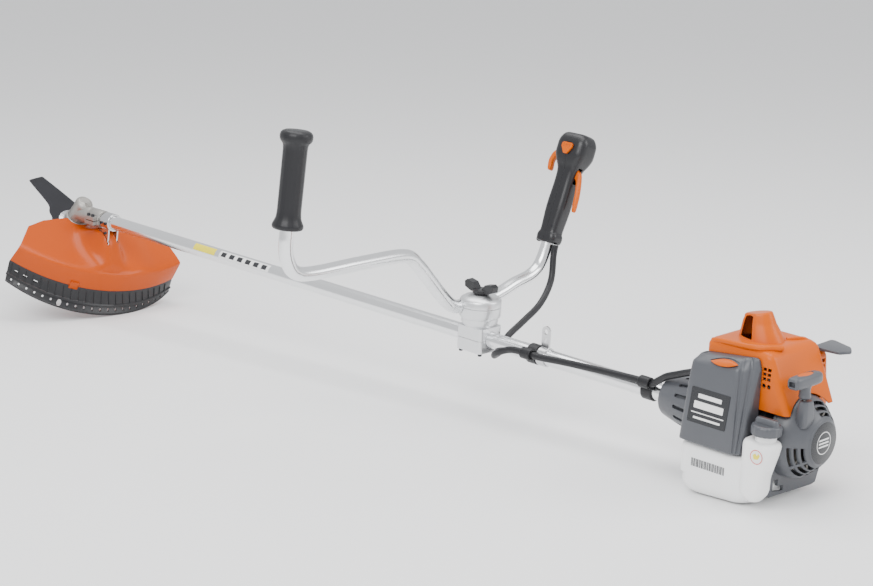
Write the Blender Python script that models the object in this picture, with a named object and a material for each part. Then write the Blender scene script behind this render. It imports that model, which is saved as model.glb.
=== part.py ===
"""Petrol brush cutter with a U handlebar, a three-tooth blade and a two-stroke engine.

Lengths are millimetres and are turned into metres when a mesh is made. Most pieces are drawn in
the machine frame: X runs back along the shaft from head to engine, Y to the machine's right, Z up,
with the zero point on the crank axis at the starter badge. The machine frame is tilted so that
the tank's foot and the guard's skirt both stand on the ground, Z = 0 of the world.
"""
import bpy
import bmesh
from math import atan2, cos, hypot, pi, radians, sin, tan
from mathutils import Matrix, Vector

MM = 0.001
GAP = 0.3                      # clearance between pieces that touch

# Stance
CRANK_HEIGHT = 92.0            # crank axis above the ground at the badge
SHAFT_TILT = 0.0569            # radians; the head end is the higher one
FOOT_X = -119.5                # the tank's foot, under which the world's origin lies

# Shaft and gear head
TUBE_R = 13.0
TUBE_WALL = 1.5
TUBE_REAR = -240.0
TUBE_FRONT = -1688.0
DRIVE_R = 4.0
HEAD_X = -1742.0               # where the output axis crosses the shaft axis
HEAD_ANGLE = 55.0              # degrees from the shaft's forward direction down to the output axis
BLADE_R = 131.0
BLADE_Z = -33.0                # blade's middle plane in the head frame
BLADE_THICK = 1.8
FIRST_TOOTH = -173.4           # degrees round the output axis at rest
PINION_TEETH = 14
GEAR_TEETH = 19
SKIRT_Z = -86.0                # skirt's lower edge in the head frame

# Throttle cable and the clips that hold it along the tube
CABLE_R = 5.5
CLIP_EYE = 21.5                # cable's distance from the tube's axis in a clip
CLIPS = {"cable_clip_front": (-543, 168), "cable_clip_rear": (-310, 136)}    # place, degrees round
CABLE_ROUTE = ((-668, 178.5, 124.9), (-667, 174, 108), (-658, 160, 68), (-646, 122, 38), (-638, 72, 18),
               (-633, 32, 2), (-630, 12, -18), (-624, -8, -20.5), (-608, -20, -10), (-580, -21, 2),
               (-553, -21, 4.5), (-533, -21, 4.5), (-515, -21, 4.6), (-460, -19.8, 9), (-395, -18, 12.5),
               (-335, -15.5, 14.9), (-320, -15.5, 14.9), (-300, -15.5, 14.9), (-284, -17, 25),
               (-269, -19, 35), (-250, -21, 43), (-228, -24, 52), (-205, -30, 60), (-178, -42, 62),
               (-160, -46.5, 68), (-143, -46.5, 74))

# Handlebar
CLAMP_X = -667.0               # swivel axis of the handlebar
BAR_X = CLAMP_X - 18.0         # the bar passes in front of the clamp screw
BAR_Z = 52.0
BAR_R = 11.0
CONTROL_BASE = Vector((BAR_X, 179.0, 126.0))
CONTROL_LEAN = radians(21.2)   # the control handle leans outward from the vertical

# Engine
PISTON_X = -111.0
BORE_R = 22.0
PULLEY_R = 31.0
ROPE_Y = -33.0
CAP_X, CAP_Y = -42.0, -82.0    # fuel cap's axis


# ---------------------------------------------------------------- materials

def material(name, colour, roughness, metallic=0.0):
    mat = bpy.data.materials.new(name)
    mat.use_nodes = True
    mat.diffuse_color = (*colour, 1.0)
    shader = mat.node_tree.nodes["Principled BSDF"]
    shader.inputs["Base Color"].default_value = (*colour, 1.0)
    shader.inputs["Roughness"].default_value = roughness
    shader.inputs["Metallic"].default_value = metallic
    return mat


# ---------------------------------------------------------------- mesh tools

def quads_between(bm, first, second):
    count = len(first)
    for i in range(count):
        j = (i + 1) % count
        corners = []
        for vert in (first[i], first[j], second[j], second[i]):
            if vert not in corners:
                corners.append(vert)
        if len(corners) > 2:
            bm.faces.new(corners)


def loft(sections):
    """Skin through loops of equal length, closed with a face at each end."""
    bm = bmesh.new()
    loops = [[bm.verts.new(p) for p in loop] for loop in sections]
    for first, second in zip(loops, loops[1:]):
        quads_between(bm, first, second)
    bm.faces.new(loops[0])
    bm.faces.new(loops[-1])
    return tidy(bm)


def tidy(bm):
    bmesh.ops.recalc_face_normals(bm, faces=bm.faces)
    return bm


def moved(bm, matrix):
    bm.transform(matrix)
    return tidy(bm)


def turned(profile, axis="Z", centre=(0, 0, 0), segments=20, ring=False):
    """Turn (position, radius) points about an axis; a ring's profile closes on itself."""
    bm = bmesh.new()
    loops = []
    for along, radius in profile:
        if radius < 1e-6:
            loops.append([bm.verts.new(on_axis(along, 0, 0, axis, centre))] * segments)
            continue
        angles = [2 * pi * i / segments for i in range(segments)]
        loops.append([bm.verts.new(on_axis(along, radius * cos(a), radius * sin(a), axis, centre))
                      for a in angles])
    pairs = list(zip(loops, loops[1:]))
    if ring:
        pairs.append((loops[-1], loops[0]))
    for first, second in pairs:
        quads_between(bm, first, second)
    if not ring:
        for loop in (loops[0], loops[-1]):
            if loop[0] is not loop[1]:
                bm.faces.new(loop)
    return tidy(bm)


def on_axis(along, a, b, axis, centre):
    local = {"X": (along, a, b), "Y": (a, along, b), "Z": (a, b, along)}[axis]
    return Vector(local) + Vector(centre)


def prism(outline, low, high, axis="Z"):
    """Extrude a closed outline of (a, b) points between two positions along an axis."""
    return loft([[on_axis(t, a, b, axis, (0, 0, 0)) for a, b in outline] for t in (low, high)])


def block(low, high):
    (x0, y0, z0), (x1, y1, z1) = low, high
    return prism([(x0, y0), (x1, y0), (x1, y1), (x0, y1)], z0, z1)


def rod(radius, low, high, axis="Z", centre=(0, 0, 0), segments=20):
    return turned([(low, radius), (high, radius)], axis, centre, segments)


def pipe(outer, inner, low, high, axis="Z", centre=(0, 0, 0), segments=20):
    profile = [(low, inner), (low, outer), (high, outer), (high, inner)]
    return turned(profile, axis, centre, segments, ring=True)


def rounded(a0, a1, b0, b1, radius, steps=3):
    """Outline of a rectangle with rounded corners."""
    points = []
    corners = ((a1 - radius, b1 - radius, 0), (a0 + radius, b1 - radius, 90),
               (a0 + radius, b0 + radius, 180), (a1 - radius, b0 + radius, 270))
    for a, b, start in corners:
        for i in range(steps + 1):
            angle = radians(start + 90 * i / steps)
            points.append((a + radius * cos(angle), b + radius * sin(angle)))
    return points


def arc(centre, radius, start, end, steps):
    """Points along an arc, angles in degrees."""
    angles = [radians(start + (end - start) * i / steps) for i in range(steps + 1)]
    return [(centre[0] + radius * cos(a), centre[1] + radius * sin(a)) for a in angles]


def smooth_path(points, steps=3):
    """Catmull-Rom curve through the points, with the given number of steps between them."""
    pts = [Vector(p) for p in points]
    pts = [pts[0] * 2 - pts[1]] + pts + [pts[-1] * 2 - pts[-2]]
    path = []
    for a, b, c, d in zip(pts, pts[1:], pts[2:], pts[3:]):
        for i in range(steps):
            t = i / steps
            path.append(0.5 * (2 * b + (c - a) * t + (2 * a - 5 * b + 4 * c - d) * t * t
                               + (3 * b - a - 3 * c + d) * t ** 3))
    path.append(pts[-2])
    return path


def thinned(path, tolerance):
    """Leave out the points that lie within the tolerance of a straight line past them."""
    if len(path) < 3:
        return path
    run = (path[-1] - path[0]).normalized()
    off = [(p - path[0] - run * (p - path[0]).dot(run)).length for p in path]
    worst = max(range(len(path)), key=lambda i: off[i])
    if off[worst] < tolerance:
        return [path[0], path[-1]]
    return thinned(path[:worst + 1], tolerance)[:-1] + thinned(path[worst:], tolerance)


def sweep(path, radius, segments=10, inner=None):
    """Round bar along a path, or a tube when an inner radius is given."""
    bm = bmesh.new()
    side = None
    skins = {r: [] for r in (radius, inner) if r}
    for i, point in enumerate(path):
        ahead = (path[min(i + 1, len(path) - 1)] - path[max(i - 1, 0)]).normalized()
        side = ahead.orthogonal() if side is None else side - ahead * side.dot(ahead)
        side.normalize()
        other = ahead.cross(side)
        for r, loops in skins.items():
            loops.append([bm.verts.new(point + r * (side * cos(a) + other * sin(a)))
                          for a in (2 * pi * k / segments for k in range(segments))])
    for loops in skins.values():
        for first, second in zip(loops, loops[1:]):
            quads_between(bm, first, second)
    for end in (0, -1):
        if inner:
            quads_between(bm, skins[radius][end], skins[inner][end])
        else:
            bm.faces.new(skins[radius][end])
    return tidy(bm)


def joined(*pieces):
    """Separate solids kept in one mesh."""
    bm = bmesh.new()
    for piece in pieces:
        mesh = bpy.data.meshes.new("piece")
        piece.to_mesh(mesh)
        bm.from_mesh(mesh)
        bpy.data.meshes.remove(mesh)
    return tidy(bm)


def boolean(base, tool, operation):
    objects = []
    for bm in (base, tool):
        mesh = bpy.data.meshes.new("work")
        bm.to_mesh(mesh)
        obj = bpy.data.objects.new("work", mesh)
        bpy.context.scene.collection.objects.link(obj)
        objects.append(obj)
    modifier = objects[0].modifiers.new("boolean", "BOOLEAN")
    modifier.operation = operation
    modifier.solver = "EXACT"
    modifier.object = objects[1]
    result = bmesh.new()
    result.from_object(objects[0], bpy.context.evaluated_depsgraph_get())
    for obj in objects:
        mesh = obj.data
        bpy.data.objects.remove(obj)
        bpy.data.meshes.remove(mesh)
    bmesh.ops.remove_doubles(result, verts=result.verts, dist=0.002)
    bmesh.ops.dissolve_limit(result, angle_limit=radians(0.5), verts=result.verts, edges=result.edges)
    return result


def cut(base, *tools):
    for tool in tools:
        base = boolean(base, tool, "DIFFERENCE")
    return base


def union(base, *others):
    for other in others:
        base = boolean(base, other, "UNION")
    return base


def overlap(base, tool):
    return boolean(base, tool, "INTERSECT")


# ---------------------------------------------------------------- frames and objects

FRAMES = {}


def frame(name, origin=(0, 0, 0), rotation=None, parent=None):
    """An empty at a joint's axis; its matrix is kept in machine millimetres."""
    empty = bpy.data.objects.new(name, None)
    bpy.context.scene.collection.objects.link(empty)
    local = Matrix.Translation(Vector(origin))
    if rotation is not None:
        local = local @ rotation
    base = Matrix.Identity(4)
    if parent:
        empty.parent, base = FRAMES[parent]
    in_metres = local.copy()
    in_metres.translation = in_metres.translation * MM
    empty.matrix_local = in_metres
    FRAMES[name] = (empty, base @ local)
    return name


def piece(name, bm, mat, on="machine", drawn_in="machine"):
    """Make the object: drawn_in is the frame of its numbers, on is the frame it belongs to."""
    empty, target = FRAMES[on]
    bm.transform(target.inverted() @ FRAMES[drawn_in][1])
    bm.transform(Matrix.Scale(MM, 4))
    bmesh.ops.triangulate(bm, faces=bm.faces)
    tidy(bm)
    mesh = bpy.data.meshes.new(name)
    bm.to_mesh(mesh)
    bm.free()
    mesh.shade_smooth()
    mesh.set_sharp_from_angle(angle=radians(32))
    mesh.materials.append(mat)
    obj = bpy.data.objects.new(name, mesh)
    bpy.context.scene.collection.objects.link(obj)
    obj.parent = empty
    return obj


def make_frames():
    stance = Matrix.Rotation(SHAFT_TILT, 4, "Y")
    empty = bpy.data.objects.new("machine", None)
    bpy.context.scene.collection.objects.link(empty)
    empty.matrix_local = Matrix.Translation((-FOOT_X * MM, 0, CRANK_HEIGHT * MM)) @ stance
    FRAMES["machine"] = (empty, Matrix.Identity(4))
    frame("gear_head", (HEAD_X, 0, 0), Matrix.Rotation(radians(90 - HEAD_ANGLE), 4, "Y"), "machine")
    frame("blade_spin", parent="gear_head")
    frame("drive_spin", (TUBE_REAR, 0, 0), parent="machine")
    frame("crank_spin", (PISTON_X, 0, 0), parent="machine")
    frame("piston_slide", (PISTON_X, 0, 70), parent="machine")
    frame("pulley_spin", (-12, 0, 0), parent="machine")
    frame("starter_pull", (-13, ROPE_Y, 0), Matrix.Rotation(-SHAFT_TILT, 4, "Y"), "machine")
    frame("cap_turn", (CAP_X, CAP_Y, 20), parent="machine")
    frame("latch_hinge", (-124, -75, 116), parent="machine")
    frame("handlebar_swivel", (CLAMP_X, 0, BAR_Z), parent="machine")
    frame("knob_turn", (0, 0, 20), parent="handlebar_swivel")
    lean = Matrix.Rotation(-CONTROL_LEAN, 4, "X")
    frame("control", CONTROL_BASE - Vector((CLAMP_X, 0, BAR_Z)), lean, "handlebar_swivel")
    frame("trigger_hinge", (-14, 0, 155), parent="control")
    frame("lock_hinge", (12, 0, 120), parent="control")
    frame("switch_slide", (0, -24, 158), parent="control")


# ---------------------------------------------------------------- shaft

def shaft_tube():
    return pipe(TUBE_R, TUBE_R - TUBE_WALL, TUBE_FRONT, TUBE_REAR, "X", segments=22)


def shaft_bushing(x):
    return pipe(TUBE_R - TUBE_WALL - GAP, DRIVE_R + GAP, x - 15, x + 15, "X", segments=14)


def drive_shaft():
    return rod(DRIVE_R, HEAD_X + 35, TUBE_REAR + 3.7, "X", segments=12)


def cable_clip(x, around):
    """Rubber band round the tube, with a second eye for the throttle cable."""
    band = rod(16, -10, 10, "X", segments=16)
    eye = rod(9.5, -10, 10, "X", (0, CLIP_EYE, 0), 14)
    tube_hole = rod(TUBE_R + GAP, -20, 20, "X", segments=22)
    cable_hole = rod(CABLE_R + 1, -20, 20, "X", (0, CLIP_EYE, 0), 12)
    clip = cut(union(band, eye), tube_hole, cable_hole)
    return moved(clip, Matrix.Translation((x, 0, 0)) @ Matrix.Rotation(radians(around), 4, "X"))


def harness_bracket():
    """Strap ring round the tube with an upright lug for the harness hook."""
    ring = rod(15.5, -531.5, -516, "X", segments=20)
    lug = prism([(-531.5, 12), (-516, 12)] + arc((-523.75, 42), 7.75, 0, 180, 6), -2, 2, "Y")
    lug = union(lug, block((-531.5, -2, 10), (-516, 2, 20)))
    body = union(ring, lug)
    return cut(body, rod(TUBE_R + GAP, -540, -508, "X", segments=22),
               rod(4.5, -10, 10, "Y", (-524, 0, 41), 16),
               block((-526, -10, 22), (-522, 10, 31)))


# ---------------------------------------------------------------- gear head

def to_head(bm):
    return moved(bm, FRAMES["gear_head"][1].inverted())


def gearbox_housing():
    body = turned([(-20, 0), (-20, 23), (-14, 23), (-12.5, 20), (0, 19), (6, 17.5), (23, 17.5), (28, 16),
                   (31.5, 11), (33, 0)], segments=18)
    neck = to_head(turned([(HEAD_X + 6, 0), (HEAD_X + 6, 17.5), (HEAD_X + 78, 17.5),
                           (HEAD_X + 80, 16.5), (HEAD_X + 80, 0)], "X", segments=18))
    lug = to_head(block((HEAD_X + 50, -26, -8), (HEAD_X + 78, -10, 8)))
    plug = to_head(rod(6, 14, 24, "Z", (HEAD_X + 26, 0, 0), 6))
    outer = union(body, neck, lug, plug)
    cavity = turned([(-21, 0), (-21, 11.3), (-10.5, 11.3), (-10.5, 12), (10, 12), (10, 13.5), (20.5, 13.5),
                     (20.5, 11.3), (28.5, 11.3), (28.5, 0)], segments=18)
    bore = to_head(turned([(HEAD_X + 81, 0), (HEAD_X + 81, TUBE_R + GAP), (TUBE_FRONT - 2, TUBE_R + GAP),
                           (TUBE_FRONT - 2, 11.3), (HEAD_X + 13, 11.3), (HEAD_X + 13, 0)],
                          "X", segments=18))
    slit = to_head(block((HEAD_X + 54, -30, -0.8), (HEAD_X + 90, -12, 0.8)))
    return cut(outer, union(cavity, bore), slit)


def pinion_bearing():
    return to_head(pipe(11, 5.3, HEAD_X + 26, HEAD_X + 33, "X", segments=16))


def output_bearing():
    return pipe(11, 5.3, -18, -11, segments=16)


def toothed(low, high, teeth):
    """Straight bevel teeth: each end is a (position, root radius, tip radius)."""
    loops = []
    for along, root, tip in (low, high):
        loop = []
        for i in range(teeth):
            for part, radius in ((0.0, root), (0.3, root), (0.42, tip), (0.62, tip)):
                a = 2 * pi * (i + part) / teeth
                loop.append(Vector((radius * cos(a), radius * sin(a), along)))
        loops.append(loop)
    return loft(loops)


def pinion_gear():
    teeth = toothed((0, 3.5, 4.0), (10, 6.3, 7.3), PINION_TEETH)
    gear = union(teeth, rod(5, 9, 20, segments=12))
    back_along_shaft = Matrix.Translation((HEAD_X + 14.6, 0, 0)) @ Matrix.Rotation(radians(90), 4, "Y")
    gear = moved(gear, back_along_shaft)
    return cut(gear, rod(2, HEAD_X, HEAD_X + 14.5, "X", segments=8))


def output_gear():
    """The driven bevel gear with the output shaft in one piece."""
    teeth = toothed((12.2, 8.4, 10.2), (19.5, 10.8, 12.6), GEAR_TEETH)
    shaft = turned([(-48, 0), (-48, 5), (28, 5), (28, 0)], segments=12)
    return union(teeth, shaft)


def brush_blade():
    """Three square-ended teeth, straight on one edge; the outline repeats each third of a turn."""
    tooth = [(36, -42), (48, -39), (86, -29.5), (125, -18.5), (BLADE_R - 1, -17), (BLADE_R, -14),
             (BLADE_R, 15), (BLADE_R - 1.5, 18), (66, 18), (54, 22), (46, 30), (26, 35)]
    outline = []
    for third in range(3):
        turn = radians(FIRST_TOOTH + 120 * third)
        for out, across in tooth:
            a = turn + atan2(across, out)
            outline.append((hypot(out, across) * cos(a), hypot(out, across) * sin(a)))
    blade = prism(outline, BLADE_Z - BLADE_THICK / 2, BLADE_Z + BLADE_THICK / 2)
    holes = [rod(12.7, -60, 0, segments=20)]
    for third in range(3):
        a = radians(FIRST_TOOTH + 60 + 120 * third)
        holes.append(rod(4, -60, 0, centre=(31 * cos(a), 31 * sin(a), 0), segments=12))
    return cut(blade, joined(*holes))


def blade_adapter():
    flange = turned([(-36.5, 0), (-36.5, 12.4), (-31.8, 12.4), (-31.8, 33), (-28, 33), (-26, 25), (-21, 24),
                     (-21, 0)], segments=22)
    return cut(flange, rod(5.3, -60, 0, segments=12))


def blade_washer():
    return turned([(-41, 10), (-41, 14), (-37, 24), (-34.2, 24), (-34.2, 12.7), (-37, 12.7), (-37, 10)],
                  segments=20, ring=True)


def blade_nut():
    nut = turned([(-47, 0), (-47, 9), (-41.3, 9), (-41.3, 0)], segments=6)
    return cut(nut, rod(5.3, -60, 0, segments=12))


# ---------------------------------------------------------------- guard

def guard_front(t):
    """Front edge of the guard's top plate, left to right."""
    edge = [(5, -120), (-3, -81), (0, -30), (8, 10), (16, 45), (35, 105), (100, 153)]
    lengths = [0.0]
    for a, b in zip(edge, edge[1:]):
        lengths.append(lengths[-1] + hypot(b[0] - a[0], b[1] - a[1]))
    want = t * lengths[-1]
    for i in range(len(edge) - 1):
        if want <= lengths[i + 1] + 1e-6:
            f = (want - lengths[i]) / (lengths[i + 1] - lengths[i])
            return Vector((edge[i][0] + f * (edge[i + 1][0] - edge[i][0]),
                           edge[i][1] + f * (edge[i + 1][1] - edge[i][1])))


def arc_between(start, end, radius, t):
    """Point at t along the arc that bulges away from the head, and its outward direction."""
    a, b = Vector(start), Vector(end)
    half = (b - a) / 2
    inward = Vector((-half.y, half.x)).normalized()
    centre = a + half + inward * (radius ** 2 - half.length ** 2) ** 0.5
    first = atan2(a.y - centre.y, a.x - centre.x)
    last = atan2(b.y - centre.y, b.x - centre.x)
    angle = first + t * (last - first)
    out = Vector((cos(angle), sin(angle)))
    return centre + out * radius, out


def guard_wall(t, z, inset):
    """Point on the guard's rear wall at height z, moved inward by inset."""
    crease, crease_out = arc_between((50, -167), (157, 156), 308, t)
    rim, rim_out = arc_between((46, -170), (164, 148), 289, t)
    f = (-12 - z) / 40.0
    out = (crease_out.lerp(rim_out, f)).normalized()
    flat = crease.lerp(rim, f) - out * inset
    return Vector((flat.x, flat.y, z))


def guard_rise(x, y):
    """Swelling of the top plate under the tube, over the foot of the guard's bracket."""
    along = max(0.0, min(1.0, (x - 22) / 66, (165 - x) / 73))
    return 42 * along * along * (3 - 2 * along) / (1 + (y / 25) ** 4)


def guard_shield():
    """Top plate and rear wall of the guard as one moulding."""
    wall = 3.0
    sections = []
    for i in range(19):
        t = i / 18
        front, back = guard_front(t), guard_wall(t, -12, 10)
        upper = []
        for f in (0.0, 0.2, 0.35, 0.5, 0.65, 0.82, 1.0):
            p = front.lerp(back.xy, f)
            upper.append(Vector((p.x, p.y, -10 - f * f + guard_rise(p.x, p.y))))
        under = [p - Vector((0, 0, wall)) for p in reversed(upper)]
        sections.append(upper + [guard_wall(t, -15, 0), guard_wall(t, -52, 0), guard_wall(t, -52, wall),
                                 guard_wall(t, -16, wall)] + under)
    around_gearbox = rod(25, -60, 20, segments=22)
    leg_slots = [block((72, y, 6), (112, y + 4.4, 60)) for y in (-12.7, 8.3)]
    return cut(loft(sections), joined(around_gearbox, *leg_slots))


def skirt_foot(t, inset):
    """Lower edge of the skirt; its lowest point is on the ground."""
    flat, out = arc_between((67, -180), (168, 152), 237.4, t)
    flat = flat - out * inset
    return Vector((flat.x, flat.y, SKIRT_Z))


def guard_skirt():
    """The skirt hangs inside the guard's wall and steps out below its rim."""
    sections = []
    for i in range(15):
        t = i / 14
        foot = skirt_foot(t, 0)
        foot_in = skirt_foot(t, 2.5)
        step = guard_wall(t, -55, 0)
        step_in = guard_wall(t, -57, 3)
        sections.append([guard_wall(t, -40, 3.5), guard_wall(t, -52.4, 3.5), guard_wall(t, -52.4, 1.0),
                         step, step.lerp(foot, 0.55) + Vector((0, 0, -3)), foot,
                         foot_in, step_in.lerp(foot_in, 0.55) + Vector((0, 0, -3)), step_in,
                         guard_wall(t, -54, 6), guard_wall(t, -40, 6)])
    return loft(sections)


def guard_bracket():
    """Clamp ring round the tube with two legs down to a foot on the guard's plate."""
    ring = rod(17, -1655, -1631, "X", segments=20)
    legs = []
    for y in (-12, 9):
        legs.append(prism([(-1653, 6), (-1633, 6), (-1637, -40), (-1653, -76), (-1671, -76), (-1657, -40)],
                          y, y + 3, "Y"))
    upright = to_head(union(ring, *legs))
    foot = block((78, -12, -9.7), (100, 12, -4))
    below = block((-100, -100, -200), (300, 100, -7))
    body = union(cut(upright, below), foot)
    tube = to_head(rod(TUBE_R + GAP, -1700, -1600, "X", segments=22))
    return cut(body, tube)


# ---------------------------------------------------------------- handlebar

def handle_base_strap():
    body = prism(rounded(-694, -640, -25, 25, 5, 2), -21, -0.4)
    return cut(body, rod(TUBE_R + GAP, -720, -620, "X", segments=22))


def handle_base_upper():
    lower = prism(rounded(-694, -640, -25, 25, 5, 2), 0, 20)
    pedestal = turned([(16, 0), (16, 24), (20, 26), (27, 30), (33.7, 30), (33.7, 0)],
                      centre=(CLAMP_X, 0, 0), segments=22)
    body = union(lower, pedestal)
    return cut(body, rod(TUBE_R + GAP, -720, -620, "X", segments=22))


def handle_saddle():
    """Lower half of the swivelling bar clamp; the screw's hole runs through."""
    body = turned([(34.1, 0), (34.1, 32), (37, 34), (51.7, 34), (51.7, 0)],
                  centre=(CLAMP_X, 0, 0), segments=24)
    return cut(body, bar_groove(), rod(4.4, 20, 100, centre=(CLAMP_X, 0, 0), segments=12))


def handle_cap():
    body = turned([(52.3, 0), (52.3, 34), (62, 34), (67, 29), (70, 20), (71.5, 12), (71.5, 0)],
                  centre=(CLAMP_X, 0, 0), segments=24)
    return cut(body, bar_groove(), rod(4.4, 20, 100, centre=(CLAMP_X, 0, 0), segments=12))


def bar_groove():
    return rod(BAR_R + GAP, -60, 60, "Y", (BAR_X, 0, BAR_Z), 24)


def wing_knob():
    """Knob with two wings, moulded on the clamp's screw."""
    hub = turned([(38, 0), (38, 4), (71.9, 4), (71.9, 11), (74, 14), (80, 12), (80, 0)],
                 centre=(CLAMP_X, 0, 0), segments=16)
    left = [(CLAMP_X - 6, 74), (CLAMP_X - 6, 80), (CLAMP_X - 13, 89), (CLAMP_X - 26, 91.5),
            (CLAMP_X - 31, 88), (CLAMP_X - 30, 79), (CLAMP_X - 17, 74)]
    right = [(2 * CLAMP_X - x, z) for x, z in left]
    return union(hub, prism(left, -6.5, 6.5, "Y"), prism(right, -6.5, 6.5, "Y"))


def bar_path():
    """Centre line of the handlebar, in the upright plane at BAR_X, left end first."""
    points = [(-392.6, 362.5), (-399.1, 300), (-406, 233), (-408, 212), (-405, 188), (-390, 166),
              (-354, 158), (-250, 158), (-161, 155), (-130, 136), (-102, 107), (-62, 66), (-36, BAR_Z),
              (0, BAR_Z), (34, BAR_Z), (66, 58), (100, 68), (138, 76), (162, 92), (180.5, 129.9),
              (192.3, 160.3), (204.2, 190.9)]
    return [Vector((BAR_X, y, z)) for y, z in points]


def handlebar_tube():
    path = []
    for p in smooth_path(bar_path(), 4):
        if abs(p.y) < 37:
            p.z = BAR_Z
        if p.y > CONTROL_BASE.y:
            p.y = CONTROL_BASE.y + (p.z - CONTROL_BASE.z) * tan(CONTROL_LEAN)
        path.append(p)
    return sweep(thinned(path, 0.35), BAR_R, 10, BAR_R - 2)


def grip_frame():
    lean = atan2(15, 145)
    return Matrix.Translation((BAR_X, -406, 233)) @ Matrix.Rotation(-lean, 4, "X")


def left_grip():
    bore = BAR_R + 0.5
    body = turned([(0, bore), (0, 23), (4, 23), (10, 18.5), (134, 18.5), (139, 22), (142, 25),
                   (145, 23), (146.5, 16), (147, 0), (138, 0), (138, bore)], segments=20, ring=True)
    return moved(body, grip_frame())


def control_outline(x_half, y_half, z):
    """One level of the control housing: a rectangle with rounded corners."""
    radius = min(x_half, y_half) * 0.55
    return [Vector((a, b, z)) for a, b in rounded(-x_half, x_half, -y_half, y_half, radius, 3)]


def control_solid(inset, low, high):
    levels = [(0, 32, 30), (10, 40, 32), (22, 34, 30), (60, 38, 32), (100, 36, 31), (128, 40, 32),
              (140, 52, 40), (150, 60, 46), (172, 60, 46), (184, 50, 38), (188, 38, 28)]
    rings = [control_outline(x / 2 - inset, y / 2 - inset, z) for z, x, y in levels if low <= z <= high]
    return loft(rings)


def control_shell():
    """Hollow control housing: a bore for the bar below, a chamber for the levers above."""
    chamber = loft([control_outline(15, 11, 86), control_outline(16, 12.5, 128),
                    control_outline(22, 17, 142), control_outline(26, 20, 152),
                    control_outline(26, 20, 170), control_outline(21, 15, 181)])
    bore = union(rod(BAR_R + 0.5, -10, 90, segments=20), rod(BAR_R + 1.5, -10, 12, segments=20))
    body = cut(control_solid(0, 0, 200), bore, chamber)
    trigger_slot = block((-60, -6, 134), (-10, 6, 168))
    lock_slot = block((8, -4.8, 104), (40, 4.8, 132))
    switch_slot = block((-3, -30, 149), (3, -10, 170))
    return cut(body, trigger_slot, lock_slot, switch_slot)


def control_housing_front():
    half = block((-80, -80, -40), (-GAP / 2, 80, 240))
    return overlap(control_shell(), half)


def control_housing_rear():
    half = block((GAP / 2, -80, -40), (80, 80, 240))
    return overlap(control_shell(), half)


def throttle_trigger():
    lever = [(-9, 158), (-16, 162), (-30, 160), (-43, 151), (-48, 136), (-45, 120), (-40, 118),
             (-38, 122), (-40, 136), (-34, 145), (-24, 149), (-12, 149)]
    return prism(lever, -5, 5, "Y")


def throttle_lock():
    lever = [(10, 114), (10, 126), (16, 130), (26, 124), (34, 92), (36, 62), (33, 58), (30, 62),
             (27, 92), (22, 110), (17, 114)]
    return prism(lever, -4, 4, "Y")


def stop_switch():
    face = prism([(-3.5, 149.5), (3.5, 149.5), (11, 161), (11, 166), (8, 168.5), (-8, 168.5), (-11, 166),
                  (-11, 161)], -27, -23.4, "Y")
    stem = block((-2, -24, 155), (2, -17, 159))
    return union(face, stem)


# ---------------------------------------------------------------- engine

def clutch_housing():
    profile = [(-161, 52), (-170, 52), (-200, 46), (-250, 36), (-272, 30), (-276, 27), (-276, TUBE_R + GAP),
               (-239.7, TUBE_R + GAP), (-239.7, 9), (-232, 9), (-232, 16.3), (-222, 16.3), (-222, 24),
               (-204, 41), (-161, 41)]
    body = turned(profile, "X", segments=24, ring=True)
    slots = []
    for i in range(6):
        slot = block((-214, -5, 30), (-188, 5, 60))
        slots.append(moved(slot, Matrix.Rotation(2 * pi * (i + 0.5) / 6, 4, "X")))
    return cut(body, joined(*slots))


def clutch_drum():
    return turned([(-194, 0), (-194, 35.5), (-172, 35.5), (-172, 38), (-196, 38), (-200, 34), (-200, 6),
                   (-236, 6), (-236, 0)], "X", segments=22)


def clutch_shoes():
    disc = rod(33.5, -189, -175, "X", segments=20)
    gaps = joined(block((-200, 9, -2.5), (-160, 50, 2.5)), block((-200, -50, -2.5), (-160, -9, 2.5)))
    return cut(disc, gaps, rod(6.3, -200, -160, "X", segments=12))


def ball_bearing(x):
    return pipe(16, 6.3, x - 4, x + 4, "X", segments=16)


def crankshaft():
    journals = [rod(6, -190, -116, "X", segments=12), rod(6, -106, -19, "X", segments=12)]
    web = arc((0, 0), 26, 150, 390, 12) + [(7, 22), (0, 25), (-7, 22)]
    webs = [prism(web, -125, -117, "X"), prism(web, -105, -97, "X")]
    pin = rod(5, -118, -104, "X", (0, 0, 16), 12)
    return union(journals[0], webs[0], pin, webs[1], journals[1])


def crankcase():
    body = turned([(-160.7, 0), (-160.7, 52), (-151, 52), (-149, 46), (-84, 46), (-76, 30), (-52, 30),
                   (-52, 0)], "X", segments=20)
    deck = block((-141, -30, 0), (-81, 30, 46))
    foot = [(-60, -45), (-60, -77), (-54, -83), (52, -88), (62, -86), (70, -65), (62, -30)]
    plate = prism(foot + arc((0, 0), 62, -15, 225, 12)[1:-1], -53, -48.4, "X")
    bores = turned([(-170, 0), (-170, 8), (-138.3, 8), (-138.3, 16.3), (-127, 16.3), (-127, 29), (-95, 29),
                    (-95, 16.3), (-83.7, 16.3), (-83.7, 8), (-40, 8), (-40, 0)], "X", segments=20)
    barrel_hole = rod(27.4, 20, 60, centre=(PISTON_X, 0, 0), segments=22)
    recess = prism([(-46, -60), (-46, -76), (-20, -80), (-20, -72), (-34, -70), (-34, -60)], -60, -40, "X")
    body = union(body, deck, plate)
    return cut(body, bores, barrel_hole, recess)


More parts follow.
